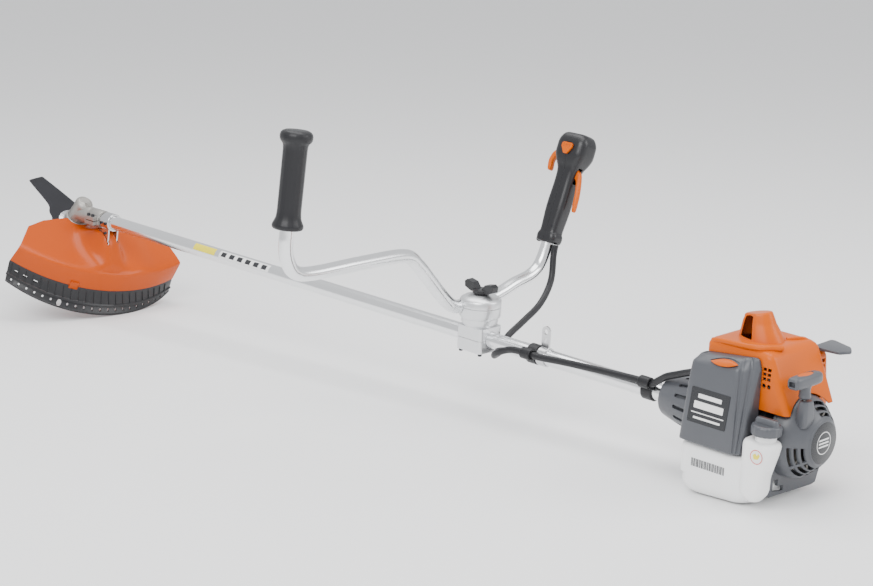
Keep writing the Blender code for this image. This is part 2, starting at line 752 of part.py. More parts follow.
def cylinder():
    """Barrel with cooling fins, a bore open below and a plug hole above."""
    core, fin = 30, 38
    levels = [(46.4, 29), (52, 29)]
    for i in range(5):
        z = 58 + 11 * i
        levels += [(z, core), (z, fin), (z + 3, fin), (z + 3, core)]
    rings = []
    for z, half in levels:
        wide = half + (4 if half == fin else 0)
        rings.append([Vector((PISTON_X + a, b, z)) for a, b in rounded(-half, half, -wide, wide, 7, 1)])
    spigot = rod(27, 24, 50, centre=(PISTON_X, 0, 0), segments=22)
    intake = block((PISTON_X - 16, -41.9, 49), (PISTON_X + 16, 0, 66))
    exhaust = block((PISTON_X - 18, 0, 50), (PISTON_X + 18, 45.6, 70))
    outer = union(loft(rings), spigot, intake, exhaust)
    bore = rod(BORE_R + GAP, 20, 93, centre=(PISTON_X, 0, 0), segments=22)
    ports = rod(6.5, -60, 60, "Y", (PISTON_X, 0, 58), 16)
    plug = rod(5.3, 90, 120, centre=(PISTON_X, 0, 0), segments=12)
    return cut(outer, union(bore, plug), ports)


def piston():
    crown = turned([(61, 0), (61, BORE_R), (88, BORE_R), (89, BORE_R - 2), (89, 0)],
                   centre=(PISTON_X, 0, 0), segments=22)
    return cut(crown, rod(18, 50, 82, centre=(PISTON_X, 0, 0), segments=16))


def spark_plug():
    shell = turned([(95, 0), (95, 5), (106.4, 5), (106.4, 10), (114, 10), (114, 5), (128, 4.5),
                    (128, 2.5), (134, 2.5), (134, 0)], centre=(PISTON_X, 0, 0), segments=12)
    return shell


def spark_plug_boot():
    """Rubber elbow over the plug; its cable end points to the hood's opening."""
    start = Vector((PISTON_X, 0, 0))
    path = smooth_path([start + Vector(p) for p in ((0, 0, 117), (0, 0, 130), (-3, -2, 136), (-9, -7, 139),
                                                    (-16, -12, 139.5))], 2)
    body = union(sweep(path, 8.5, 12), rod(10, 115, 132, centre=start, segments=12))
    return cut(body, rod(5.4, 110, 135, centre=start, segments=12))


def carburettor():
    body = block((PISTON_X - 20, -66, 38), (PISTON_X + 20, -42.3, 68))
    bowl = rod(10, 30, 40, centre=(PISTON_X, -54, 0), segments=12)
    bracket = block((PISTON_X - 30, -56, 58), (PISTON_X - 26, -42.3, 84))
    arm = block((PISTON_X - 28, -56, 58), (PISTON_X - 18, -42.3, 64))
    body = union(body, bowl, arm, bracket)
    throat = turned([(-80, 0), (-80, 10), (-60, 7), (-30, 7), (-30, 0)], "Y", (PISTON_X, 0, 56), 16)
    return cut(body, throat, rod(2, -180, -100, "X", (0, -46.5, 74), 8))


def filter_base():
    plate = prism(rounded(-176, -89, -14, 88, 8, 2), -70, -66.3, "Y")
    return cut(plate, rod(9, -80, -50, "Y", (PISTON_X, 0, 56), 16))


def filter_element():
    return prism(rounded(-167, -101, -6, 76, 8, 2), -80, -70.4, "Y")


def cover_front(z):
    """The filter cover's front face leans in, more so above z = 100."""
    if z < 100:
        return -103 + (z + 18) * 0.161
    return -84 + (z - 100) ** 1.35 * 0.27


def cover_top(x, z):
    """Height of a point of the cover once its top is pressed down toward the front end."""
    return z - max(0.0, z - 80) / 42 * (5 + (-79 - x) * 0.12)


def cover_level(z, inset):
    """Outline of the filter cover at level z; its rear corner is cut off more toward the top."""
    front = cover_front(z)
    left = -180 + max(0.0, z - 104) * 0.55
    back = max(0.0, z - 104) * 0.25
    open_side = -50 if inset else -57.5
    start = Vector((-86 - (z + 18) * 0.12 - back, front))
    end = Vector((-75 - back, min(front + 9 + (z + 18) * 0.11, -61)))
    run = end - start
    out = Vector((run.y, -run.x)).normalized()
    points = [Vector((left - 5, open_side)), Vector((left - 5, -64)), Vector((left, front + 4)),
              Vector((left + 4, front))]
    for t, depth in ((0, 0), (0.16, 0), (0.24, 1.5), (0.32, 0), (0.56, 0), (0.64, 1.5), (0.72, 0), (1, 0)):
        points.append(start + run * t - out * depth)
    points.append(Vector((-75 - back, open_side)))
    if inset:
        middle = Vector((-125, -50))
        wall = [(middle + (p - middle) * 0.955) for p in points]
        points = [Vector((p.x, max(p.y, front + inset))) for p in wall]
        points[0].y = points[-1].y = open_side
    return [Vector((p.x, p.y, cover_top(p.x, z))) for p in points]


def filter_cover():
    outer = loft([cover_level(z, 0) for z in (-18, 80, 100, 105, 110, 115, 119, 122)])
    inner = loft([cover_level(z, 2.4) for z in (-15.5, 80, 98, 104, 110, 116)])
    return cut(outer, inner)


def cover_latch():
    """Lens-shaped lever that lies on the leaning top of the filter cover."""
    lens = arc((-124, 155.5), 50, 242, 298, 8)[:-1] + arc((-124, 67), 50, 62, 118, 8)[:-1]
    rings = []
    for lift in (1.2, 4.5):
        rings.append([Vector((x, cover_front(z) - lift, cover_top(x, z))) for x, z in lens])
    return loft(rings)


def shroud_level(z, inset):
    """Outline of the engine shroud at height z, inside the wall when inset is given."""
    rear = -28 - (z - 42) * 0.42
    top = max(0.0, z - 116)
    inward = inset + top * top * 0.12
    right = 64 - (z - 42) * 0.02
    points = rounded(-175 + inward, rear - inward, -56 + inward, right - inward, 10, 2)
    return [Vector((a, b, z)) for a, b in points]


def hood(inset):
    """Raised hood over the spark plug: an oval cone with a flat top that rises to the rear."""
    rings = []
    for z, x, half_x, half_y in ((118, -118, 38, 31), (130, -119.5, 34, 28), (150, -125, 25.5, 21),
                                 (160, -128, 21, 18), (163, -128.5, 17, 14)):
        height = z - (inset if z > 155 else 0)
        rise = 0.22 if z > 155 else 0.0
        ring = arc((0, 0), 1, 0, 360, 16)[:-1]
        rings.append([Vector((x + (half_x - inset) * a, (half_y - inset) * b,
                              height + (half_x - inset) * a * rise)) for a, b in ring])
    return loft(rings)


def hood_opening():
    """The space in front of a plane that slices the hood open toward the left front."""
    beyond = block((18, -60, 128), (80, 60, 200))
    return moved(beyond, Matrix.Translation((-122, -4, 0)) @ Matrix.Rotation(radians(-111), 4, "Z"))


def engine_shroud():
    wall = 2.5
    outer = union(loft([shroud_level(z, 0) for z in (42, 116, 121, 125, 127)]), hood(0))
    inner = union(loft([shroud_level(z, wall) for z in (30, 115, 119, 122, 124)]), hood(wall))
    body = cut(outer, inner)
    arch = rod(63.5, -66, -10, "X", segments=30)
    clutch_arch = rod(54, -190, -150, "X", segments=24)
    carburettor_side = block((-150, -70, 30), (-84, -50, 84))
    muffler_side = block((-155, 50, 30), (-70, 80, 96))
    cable_port = rod(9, -185, -158, "X", (0, -44, 63), 14)
    vents = [block((-74, -64, z), (-60, -50, z + 4.5)) for z in (86, 93, 100)]
    rounds = [rod(3.2, -64, -50, "Y", (x, 0, 78), 10) for x in (-71, -62)]
    side = joined(*vents, *rounds)
    return cut(body, arch, clutch_arch, carburettor_side, muffler_side, cable_port, hood_opening(), side)


def rear_bumper():
    """Wedge-shaped guard plate standing out from the shroud's right rear corner."""
    outline = [(-74, 63.5), (-76, 110), (-70, 114), (-34, 101), (-22, 84), (-30, 68), (-54, 63.5)]
    return prism(outline, 109.5, 114)


def muffler():
    shell = loft([[Vector((a, y, b)) for a, b in rounded(-146 + s, -78 - s, 24 + s, 86 - s, 12, 2)]
                  for y, s in ((46, 4), (50, 0), (66, 0), (66.5, -1.5), (68.5, -1.5), (69, 0), (79, 0),
                               (82, 5))])
    holes = joined(rod(6.5, 40, 60, "Y", (PISTON_X, 0, 58), 16), rod(5, 76, 90, "Y", (-92, 0, 40), 12))
    return cut(shell, holes)


def muffler_guard():
    """Perforated outer shell over the muffler, deeper at the bottom."""
    def level(inset, y_open):
        outline = rounded(-160 + inset, -62 - inset, 15 + inset, 108 - inset, 12, 2)
        rings = []
        for f, shrink in ((0, 0), (0.8, 0), (1, 5)):
            ring = []
            for a, b in outline:
                face = 100 - (b - 15) * 0.172 - inset
                a = a + (shrink if a < PISTON_X else -shrink)
                ring.append(Vector((a, y_open + (face - y_open) * f, b)))
            rings.append(ring)
        return loft(rings)
    body = cut(level(0, 66.8), level(2.5, 60))
    slots = [block((x, 76, 32), (x + 8, 110, 88)) for x in (-146, -128, -110, -92)]
    slots += [block((-75, 70, z), (-50, 80, z + 7)) for z in (30, 47, 64, 81)]
    return cut(body, joined(*slots))


def starter_cover():
    dish = turned([(-16, 0), (-16, 4), (-5.5, 4), (-5.5, 34.2), (-8, 37), (-25, 51.7), (-32, 56.6),
                   (-48, 59.5), (-48, 62), (-36, 61), (-30, 59), (-24, 55), (-7, 40), (-3, 32.5),
                   (-3, 31.5), (-0.5, 31.5), (-0.5, 0)], "X", segments=24)
    boss = loft([[Vector((x, y, z)) for x, y in rounded(-23 - s, -4 + s, -45 - s, -21 + s, 5, 1)]
                 for z, s in ((41, 0), (66, -2))])
    body = union(dish, boss)
    slots = []
    for start in (-170, -110, -50, 10):
        outline = arc((0, 0), 54, start, start + 50, 3) + arc((0, 0), 40, start + 50, start, 3)
        slots.append(prism(outline, -30, 5, "X"))
    pull = FRAMES["starter_pull"][1]
    rope_hole = moved(rod(3, 20, 90, segments=12), pull)
    return cut(body, joined(*slots), rope_hole)


def recoil_pulley():
    wheel = turned([(-17.5, 0), (-17.5, 35), (-15.4, 35), (-15.4, PULLEY_R), (-10.6, PULLEY_R),
                    (-10.6, 35), (-8.5, 35), (-8.5, 0)], "X", segments=24)
    return cut(wheel, rod(4.4, -30, 0, "X", segments=12))


def starter_rope():
    return rod(1.5, 0, 67.6, segments=8)


def starter_handle():
    """T handle at rest on the rope guide, drawn in its own frame above the pulley."""
    neck = turned([(68, 0), (68, 7), (72, 9), (82, 8), (90, 10), (90, 0)], segments=12)
    bar = loft([[Vector((a, y, b)) for a, b in rounded(-s, s, 95 - h, 95 + h, min(s, h) * 0.6, 2)]
                for y, s, h in ((-32, 7, 6), (-29, 9.5, 8.5), (0, 10.5, 9.5), (29, 9.5, 8.5), (32, 7, 6))])
    return union(neck, bar)


def flywheel():
    disc = turned([(-45, 0), (-45, 50), (-39, 50), (-39, 13), (-21, 13), (-21, 0)], "X", segments=24)
    vanes = []
    for i in range(8):
        vane = block((-40, -1.5, 24), (-24, 1.5, 48))
        vanes.append(moved(vane, Matrix.Rotation(2 * pi * i / 8, 4, "X")))
    return cut(union(disc, joined(*vanes)), rod(6.3, -50, -10, "X", segments=12))


def ground(x):
    """Height of the ground in the machine frame."""
    return (x * sin(SHAFT_TILT) - CRANK_HEIGHT) / cos(SHAFT_TILT)


def tank_solid(inset):
    """Tank body, its raised left side under the air filter, and the filler tower at the rear left."""
    def box(x0, x1, y0, y1, levels, radius):
        rings = []
        for height, from_ground, shrink, end in levels:
            s = inset + shrink
            ring = []
            corner = min(radius, (y1 - y0) / 2 - s - 1)
            for a, b in rounded(x0 + s, x1 - s - end, y0 + s, y1 - s, corner, 2):
                ring.append(Vector((a, b, (ground(a) if from_ground else 0) + height)))
            rings.append(ring)
        return loft(rings)
    floor = [(0 + inset, True, 24, 0), (2.5 + inset, True, 14, 0), (10, True, 5, 0), (22, True, 0, 0)]
    slab = box(-182, -56, -95, 50, floor + [(-60, False, 0, 0), (-54.5 - inset, False, 4, 0)], 22)
    riser = box(-182, -56, -95, -50, [(-68 + inset, False, 0, 0), (-30, False, 0, 0),
                                      (-22 - inset, False, 5, 0)], 14)
    tower = box(-72, -21, -103, -62.8, [(-80 + inset, False, 8, 14), (-64, False, 0, 14), (-42, False, 0, 13),
                                        (4, False, 0, 0), (11 - inset, False, 4, 0)], 14)
    neck = rod(15 - inset, -30, 19.7, centre=(CAP_X, CAP_Y, 0), segments=20)
    return union(slab, riser, tower, neck)


def fuel_tank():
    mouth = rod(12.8, 4, 30, centre=(CAP_X, CAP_Y, 0), segments=20)
    return cut(tank_solid(0), union(tank_solid(2.2), mouth))


def fuel_cap():
    lid = turned([(20, 0), (20, 21), (22, 22), (32, 22), (35, 20), (35, 0)], centre=(CAP_X, CAP_Y, 0),
                 segments=22)
    grip = prism(rounded(CAP_X - 19, CAP_X + 19, CAP_Y - 6, CAP_Y + 6, 5, 2), 34, 43)
    plug = rod(12.3, 10, 21, centre=(CAP_X, CAP_Y, 0), segments=20)
    return union(lid, grip, plug)


def cable_curve(mat):
    """The throttle cable's conduit from the control handle along the tube to the carburettor."""
    curve = bpy.data.curves.new("throttle_cable", "CURVE")
    curve.dimensions = "3D"
    curve.bevel_depth = CABLE_R * MM
    curve.bevel_resolution = 2
    curve.use_fill_caps = True
    route = thinned(smooth_path(CABLE_ROUTE, 4), 0.4)
    spline = curve.splines.new("POLY")
    spline.points.add(len(route) - 1)
    for point, place in zip(spline.points, route):
        point.co = (*(place * MM), 1.0)
    curve.materials.append(mat)
    cable = bpy.data.objects.new("throttle_cable", curve)
    bpy.context.scene.collection.objects.link(cable)
    cable.parent = FRAMES["machine"][0]


# ---------------------------------------------------------------- assembly

def build():
    for obj in list(bpy.data.objects):
        bpy.data.objects.remove(obj)
    make_frames()

    steel = material("bright_steel", (0.70, 0.71, 0.72), 0.28, 1.0)
    white_tube = material("polished_aluminium", (0.86, 0.87, 0.88), 0.22, 1.0)
    cast = material("cast_aluminium", (0.42, 0.40, 0.38), 0.5, 1.0)
    dark_steel = material("dark_steel", (0.06, 0.06, 0.065), 0.4, 1.0)
    grey = material("grey_plastic", (0.17, 0.18, 0.20), 0.42)
    orange = material("orange_plastic", (0.85, 0.20, 0.02), 0.3)
    black = material("black_plastic", (0.02, 0.02, 0.022), 0.45)
    rubber = material("black_rubber", (0.025, 0.025, 0.028), 0.7)
    tank_white = material("translucent_plastic", (0.82, 0.83, 0.82), 0.35)
    foam = material("filter_foam", (0.12, 0.11, 0.10), 0.95)
    bronze = material("bushing_bronze", (0.45, 0.30, 0.12), 0.45, 1.0)
    rope = material("rope", (0.75, 0.75, 0.72), 0.9)

    piece("shaft_tube", shaft_tube(), white_tube)
    piece("shaft_bushing_rear", shaft_bushing(-720), bronze)
    piece("shaft_bushing_front", shaft_bushing(-1200), bronze)
    piece("drive_shaft", drive_shaft(), steel, on="drive_spin")
    for name, (x, around) in CLIPS.items():
        piece(name, cable_clip(x, around), rubber)
    piece("harness_bracket", harness_bracket(), steel)
    cable_curve(rubber)

    piece("gearbox_housing", gearbox_housing(), cast, on="gear_head", drawn_in="gear_head")
    piece("pinion_bearing", pinion_bearing(), steel, on="gear_head", drawn_in="gear_head")
    piece("output_bearing", output_bearing(), steel, on="gear_head", drawn_in="gear_head")
    piece("pinion_gear", pinion_gear(), steel, on="drive_spin")
    piece("output_gear", output_gear(), steel, on="blade_spin", drawn_in="gear_head")
    piece("blade_adapter", blade_adapter(), steel, on="blade_spin", drawn_in="gear_head")
    piece("brush_blade", brush_blade(), dark_steel, on="blade_spin", drawn_in="gear_head")
    piece("blade_washer", blade_washer(), steel, on="blade_spin", drawn_in="gear_head")
    piece("blade_nut", blade_nut(), steel, on="blade_spin", drawn_in="gear_head")
    piece("guard_bracket", guard_bracket(), steel, on="gear_head", drawn_in="gear_head")
    piece("guard_shield", guard_shield(), orange, on="gear_head", drawn_in="gear_head")
    piece("guard_skirt", guard_skirt(), black, on="gear_head", drawn_in="gear_head")

    piece("handle_base_strap", handle_base_strap(), cast)
    piece("handle_base_upper", handle_base_upper(), cast)
    piece("handle_saddle", handle_saddle(), cast, on="handlebar_swivel")
    piece("handle_cap", handle_cap(), cast, on="handlebar_swivel")
    piece("wing_knob", wing_knob(), black, on="knob_turn")
    piece("handlebar_tube", handlebar_tube(), white_tube, on="handlebar_swivel")
    piece("left_grip", left_grip(), rubber, on="handlebar_swivel")
    piece("control_housing_front", control_housing_front(), black, on="control", drawn_in="control")
    piece("control_housing_rear", control_housing_rear(), black, on="control", drawn_in="control")
    piece("throttle_trigger", throttle_trigger(), orange, on="trigger_hinge", drawn_in="control")
    piece("throttle_lock", throttle_lock(), orange, on="lock_hinge", drawn_in="control")
    piece("stop_switch", stop_switch(), orange, on="switch_slide", drawn_in="control")

    piece("clutch_housing", clutch_housing(), grey)
    piece("clutch_drum", clutch_drum(), steel, on="drive_spin")
    piece("clutch_shoes", clutch_shoes(), dark_steel, on="crank_spin")
    piece("crankshaft", crankshaft(), steel, on="crank_spin")
    piece("flywheel", flywheel(), cast, on="crank_spin")
    for name, x in (("crank_bearing_rear", -88), ("crank_bearing_front", -134), ("drum_bearing", -227)):
        piece(name, ball_bearing(x), steel)
    piece("crankcase", crankcase(), grey)
    piece("cylinder", cylinder(), cast)
    piece("piston", piston(), steel, on="piston_slide")
    piece("spark_plug", spark_plug(), steel)
    piece("spark_plug_boot", spark_plug_boot(), rubber)
    piece("carburettor", carburettor(), cast)
    piece("filter_base", filter_base(), black)
    piece("filter_element", filter_element(), foam)
    piece("filter_cover", filter_cover(), grey)
    piece("cover_latch", cover_latch(), orange, on="latch_hinge")
    piece("engine_shroud", engine_shroud(), orange)
    piece("rear_bumper", rear_bumper(), grey)
    piece("muffler", muffler(), steel)
    piece("muffler_guard", muffler_guard(), orange)
    piece("starter_cover", starter_cover(), grey)
    piece("recoil_pulley", recoil_pulley(), black, on="pulley_spin")
    piece("starter_rope", starter_rope(), rope, on="starter_pull", drawn_in="starter_pull")
    piece("starter_handle", starter_handle(), grey, on="starter_pull", drawn_in="starter_pull")
    piece("fuel_tank", fuel_tank(), tank_white)
    piece("fuel_cap", fuel_cap(), grey, on="cap_turn")


build()
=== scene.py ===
"""Looks of the brush cutter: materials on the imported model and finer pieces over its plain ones.

Lengths are millimetres in the machine frame of the CAD model: X back along the shaft, Y to the
machine's right, Z up, zero on the crank axis at the starter's badge.
"""
import bpy
import bmesh
from math import atan2, cos, hypot, pi, radians, sin, tan
from mathutils import Matrix, Vector


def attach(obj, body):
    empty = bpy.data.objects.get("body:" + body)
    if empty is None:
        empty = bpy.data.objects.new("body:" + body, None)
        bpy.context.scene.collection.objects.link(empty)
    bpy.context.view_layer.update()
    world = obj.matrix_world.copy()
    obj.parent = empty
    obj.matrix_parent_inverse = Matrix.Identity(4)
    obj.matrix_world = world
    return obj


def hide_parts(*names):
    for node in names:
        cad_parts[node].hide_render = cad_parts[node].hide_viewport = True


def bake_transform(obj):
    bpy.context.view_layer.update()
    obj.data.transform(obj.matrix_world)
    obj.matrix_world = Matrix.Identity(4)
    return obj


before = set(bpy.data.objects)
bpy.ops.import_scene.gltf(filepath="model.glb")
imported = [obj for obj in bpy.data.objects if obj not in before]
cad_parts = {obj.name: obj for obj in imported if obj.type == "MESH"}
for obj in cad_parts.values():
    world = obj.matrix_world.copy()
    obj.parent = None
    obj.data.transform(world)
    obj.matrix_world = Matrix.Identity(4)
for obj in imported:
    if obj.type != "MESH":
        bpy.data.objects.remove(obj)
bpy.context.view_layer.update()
MM = 0.001

# Frames, as in the CAD model
CRANK_HEIGHT = 0.092
SHAFT_TILT = 0.0569
FOOT_X = -119.5
HEAD_X, HEAD_TILT = -1742.0, 35.0
BAR_X, BAR_Z, BAR_R = -685.0, 52.0, 11.0
TUBE_HOLE = 13.3        # radius of the holes round the drive tube
CLAMP_X = -667.0
CONTROL_BASE = Vector((BAR_X, 179.0, 126.0))
CONTROL_LEAN = radians(21.2)
MACHINE = Matrix.Translation((-FOOT_X * MM, 0, CRANK_HEIGHT)) @ Matrix.Rotation(SHAFT_TILT, 4, "Y")
MACHINE = MACHINE @ Matrix.Scale(MM, 4)
HEAD_IN_MACHINE = Matrix.Translation((HEAD_X, 0, 0)) @ Matrix.Rotation(radians(HEAD_TILT), 4, "Y")
HEAD = MACHINE @ HEAD_IN_MACHINE
CONTROL = MACHINE @ Matrix.Translation(CONTROL_BASE) @ Matrix.Rotation(-CONTROL_LEAN, 4, "X")
GRIP = MACHINE @ Matrix.Translation((BAR_X, -406, 233)) @ Matrix.Rotation(-atan2(15, 145), 4, "X")


# ---------------------------------------------------------------- camera and stage

def make_camera():
    """The camera looks across the machine from its rear left, a little from above."""
    azimuth, elevation, distance = radians(44.3), radians(13.0), 2.957
    left, rise = 0.5454, 0.2115     # offset from the badge across the line of sight
    right = Vector((cos(azimuth), sin(azimuth), 0))
    back = Vector((sin(azimuth) * cos(elevation), -cos(azimuth) * cos(elevation), sin(elevation)))
    up = back.cross(right)
    badge = Vector((-FOOT_X * MM, 0, CRANK_HEIGHT))
    camera = linked(bpy.data.objects.new("camera", bpy.data.cameras.new("camera")))
    camera.data.lens = 86.6
    camera.location = badge - right * left + up * rise + back * distance
    camera.rotation_euler = Matrix((right, up, back)).transposed().to_euler()
    bpy.context.scene.camera = camera


def linked(obj):
    bpy.context.scene.collection.objects.link(obj)
    return obj


def area_light(name, place, target, size, power):
    light = bpy.data.lights.new(name, "AREA")
    light.shape = "RECTANGLE"
    light.size, light.size_y = size
    light.energy = power
    obj = linked(bpy.data.objects.new(name, light))
    obj.location = place
    obj.rotation_euler = (Vector(target) - Vector(place)).to_track_quat("-Z", "Y").to_euler()


FLOOR_GAP = 0.0005      # keeps the floor off the pieces that stand on it


def make_stage():
    bpy.ops.mesh.primitive_plane_add(size=40, location=(0, 0, -FLOOR_GAP))
    floor = bpy.context.object
    floor.name = "floor"
    mat = bpy.data.materials.new("floor")
    mat.use_nodes = True
    shader = mat.node_tree.nodes["Principled BSDF"]
    shader.inputs["Base Color"].default_value = (0.93, 0.93, 0.93, 1)
    shader.inputs["Roughness"].default_value = 0.9
    shader.inputs["Specular IOR Level"].default_value = 0.1
    floor.data.materials.append(mat)
    world = bpy.data.worlds.new("studio")
    world.use_nodes = True
    world.node_tree.nodes["Background"].inputs["Color"].default_value = (0.97, 0.98, 1.0, 1)
    world.node_tree.nodes["Background"].inputs["Strength"].default_value = 1.0
    bpy.context.scene.world = world
    area_light("key", (0.6, -2.6, 2.6), (-0.5, 0, 0.2), (2.6, 1.6), 95)
    area_light("top", (-0.8, 0.2, 3.0), (-0.8, 0, 0), (3.6, 1.6), 75)
    area_light("rim", (1.8, 1.4, 1.6), (-0.3, 0, 0.2), (1.2, 1.6), 30)


# ---------------------------------------------------------------- materials

def finish(name, colour, roughness, metallic=0.0, grain=0.0, grain_size=0.6, mottle=0.06, edge=0.5,
           coat=0.0, specular=0.5, brushed=None):
    """Surface with grain in its bump, a little uneven colour and gloss, and softened edges.

    grain is the bump's depth in millimetres, grain_size its scale in millimetres, edge the radius of
    the softened edges, and brushed the axis along which the grain is drawn out.
    """
    mat = bpy.data.materials.new(name)
    mat.use_nodes = True
    nodes, links = mat.node_tree.nodes, mat.node_tree.links
    shader = nodes["Principled BSDF"]
    shader.inputs["Metallic"].default_value = metallic
    shader.inputs["Coat Weight"].default_value = coat
    shader.inputs["Coat Roughness"].default_value = 0.08
    shader.inputs["Specular IOR Level"].default_value = specular
    place = nodes.new("ShaderNodeTexCoord")
    stretch = nodes.new("ShaderNodeMapping")
    if brushed:
        stretch.inputs["Scale"].default_value = brushed
    links.new(place.outputs["Object"], stretch.inputs["Vector"])

    def noise(scale, detail, vector):
        texture = nodes.new("ShaderNodeTexNoise")
        texture.inputs["Scale"].default_value = scale
        texture.inputs["Detail"].default_value = detail
        links.new(vector, texture.inputs["Vector"])
        return texture.outputs["Fac"]

    tint = nodes.new("ShaderNodeMix")
    tint.data_type = "RGBA"
    tint.inputs["A"].default_value = (*[c * (1 - mottle) for c in colour], 1)
    tint.inputs["B"].default_value = (*[min(1, c * (1 + mottle)) for c in colour], 1)
    links.new(noise(22, 5, place.outputs["Object"]), tint.inputs["Factor"])
    links.new(tint.outputs["Result"], shader.inputs["Base Color"])

    fine = noise(1 / (grain_size * MM), 3, stretch.outputs["Vector"])
    gloss = nodes.new("ShaderNodeMapRange")
    gloss.inputs["To Min"].default_value = max(0.02, roughness * 0.82)
    gloss.inputs["To Max"].default_value = min(1.0, roughness * 1.18)
    links.new(fine, gloss.inputs["Value"])
    links.new(gloss.outputs["Result"], shader.inputs["Roughness"])

    soft = nodes.new("ShaderNodeBevel")
    soft.samples = 3
    soft.inputs["Radius"].default_value = edge * MM
    bump = nodes.new("ShaderNodeBump")
    bump.inputs["Distance"].default_value = max(grain, 0.001) * MM
    bump.inputs["Strength"].default_value = 1.0 if grain else 0.0
    links.new(fine, bump.inputs["Height"])
    links.new(soft.outputs["Normal"], bump.inputs["Normal"])
    links.new(bump.outputs["Normal"], shader.inputs["Normal"])
    return mat


def translucent(mat, weight):
    shader = mat.node_tree.nodes["Principled BSDF"]
    shader.inputs["Subsurface Weight"].default_value = weight
    shader.inputs["Subsurface Radius"].default_value = (0.01, 0.01, 0.01)
    return mat


MATS = {
    "polished": finish("polished_aluminium", (0.86, 0.87, 0.88), 0.2, 1.0, 0.004, 0.5, 0.02, 0.3,
                       brushed=(0.05, 1, 1)),
    "satin": finish("satin_aluminium", (0.74, 0.75, 0.76), 0.34, 0.9, 0.02, 0.7, 0.03, 0.8),
    "steel": finish("bright_steel", (0.62, 0.62, 0.63), 0.25, 1.0, 0.008, 0.5, 0.04, 0.4),
    "cast": finish("cast_aluminium", (0.40, 0.385, 0.36), 0.48, 0.85, 0.09, 1.0, 0.12, 0.9),
    "dark_steel": finish("dark_steel", (0.045, 0.045, 0.05), 0.36, 0.9, 0.02, 0.6, 0.2, 0.3),
    "orange": finish("orange_plastic", (0.60, 0.105, 0.0), 0.3, 0.0, 0.004, 0.8, 0.03, 0.9, specular=0.2),
    "guard_orange": finish("guard_plastic", (0.49, 0.066, 0.0), 0.24, 0.0, 0.004, 0.8, 0.03, 0.9,
                           specular=0.25),
    "grey": finish("grey_plastic", (0.074, 0.078, 0.088), 0.36, 0.0, 0.02, 0.35, 0.05, 0.8),
    "black": finish("black_plastic", (0.010, 0.010, 0.012), 0.34, 0.0, 0.02, 0.4, 0.1, 0.6),
    "rubber": finish("black_rubber", (0.010, 0.010, 0.012), 0.42, 0.0, 0.03, 0.5, 0.12, 0.6, specular=0.4),
    "tank": translucent(finish("translucent_plastic", (0.93, 0.935, 0.93), 0.3, 0.0, 0.01, 0.8, 0.02, 1.2),
                        0.35),
    "foam": finish("filter_foam", (0.10, 0.09, 0.08), 0.95, 0.0, 0.5, 1.2, 0.2, 0.3),
    "bronze": finish("bushing_bronze", (0.42, 0.27, 0.11), 0.42, 1.0, 0.02, 0.5, 0.1, 0.3),
    "rope": finish("rope", (0.72, 0.72, 0.68), 0.9, 0.0, 0.25, 0.8, 0.15, 0.2),
    "white_label": finish("white_label", (0.85, 0.85, 0.84), 0.35, 0.0, 0.0, 1.0, 0.01, 0.1),
    "yellow_label": finish("yellow_label", (0.85, 0.72, 0.02), 0.35, 0.0, 0.0, 1.0, 0.02, 0.1),
    "dark_label": finish("dark_label", (0.02, 0.021, 0.024), 0.28, 0.0, 0.003, 0.5, 0.05, 0.1),
    "red_label": finish("red_label", (0.65, 0.03, 0.02), 0.35, 0.0, 0.0, 1.0, 0.02, 0.1),
}

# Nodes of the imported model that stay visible; the others are replaced by finer pieces below
FINISHES = {
    "steel": ("drive_shaft", "pinion_bearing", "output_bearing", "pinion_gear", "output_gear",
              "blade_adapter", "blade_washer", "blade_nut", "clutch_drum", "crankshaft",
              "crank_bearing_rear", "crank_bearing_front", "drum_bearing", "piston", "spark_plug",
              "muffler"),
    "cast": ("flywheel", "cylinder", "carburettor"),
    "dark_steel": ("clutch_shoes",),
    "grey": ("crankcase",),
    "black": ("filter_base", "recoil_pulley"),
    "rubber": ("spark_plug_boot",),
    "foam": ("filter_element",),
    "bronze": ("shaft_bushing_rear", "shaft_bushing_front"),
    "rope": ("starter_rope",),
}


def paint_nodes():
    for mat, nodes in FINISHES.items():
        for node in nodes:
            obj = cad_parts[node]
            obj.data.materials.clear()
            obj.data.materials.append(MATS[mat])
            obj.data.shade_smooth()
            obj.data.set_sharp_from_angle(angle=radians(32))


# ---------------------------------------------------------------- mesh tools

def faces_between(bm, first, second):
    count = len(first)
    for i in range(count):
        j = (i + 1) % count
        corners = []
        for vert in (first[i], first[j], second[j], second[i]):
            if vert not in corners:
                corners.append(vert)
        if len(corners) > 2:
            bm.faces.new(corners)


def tidy(bm):
    bmesh.ops.recalc_face_normals(bm, faces=bm.faces)
    return bm


def moved(bm, matrix):
    bm.transform(matrix)
    return tidy(bm)


def loft(sections):
    """Skin through loops of equal length, closed with a face at each end."""
    bm = bmesh.new()
    loops = [[bm.verts.new(p) for p in loop] for loop in sections]
    for first, second in zip(loops, loops[1:]):
        faces_between(bm, first, second)
    bm.faces.new(loops[0])
    bm.faces.new(loops[-1])
    return tidy(bm)


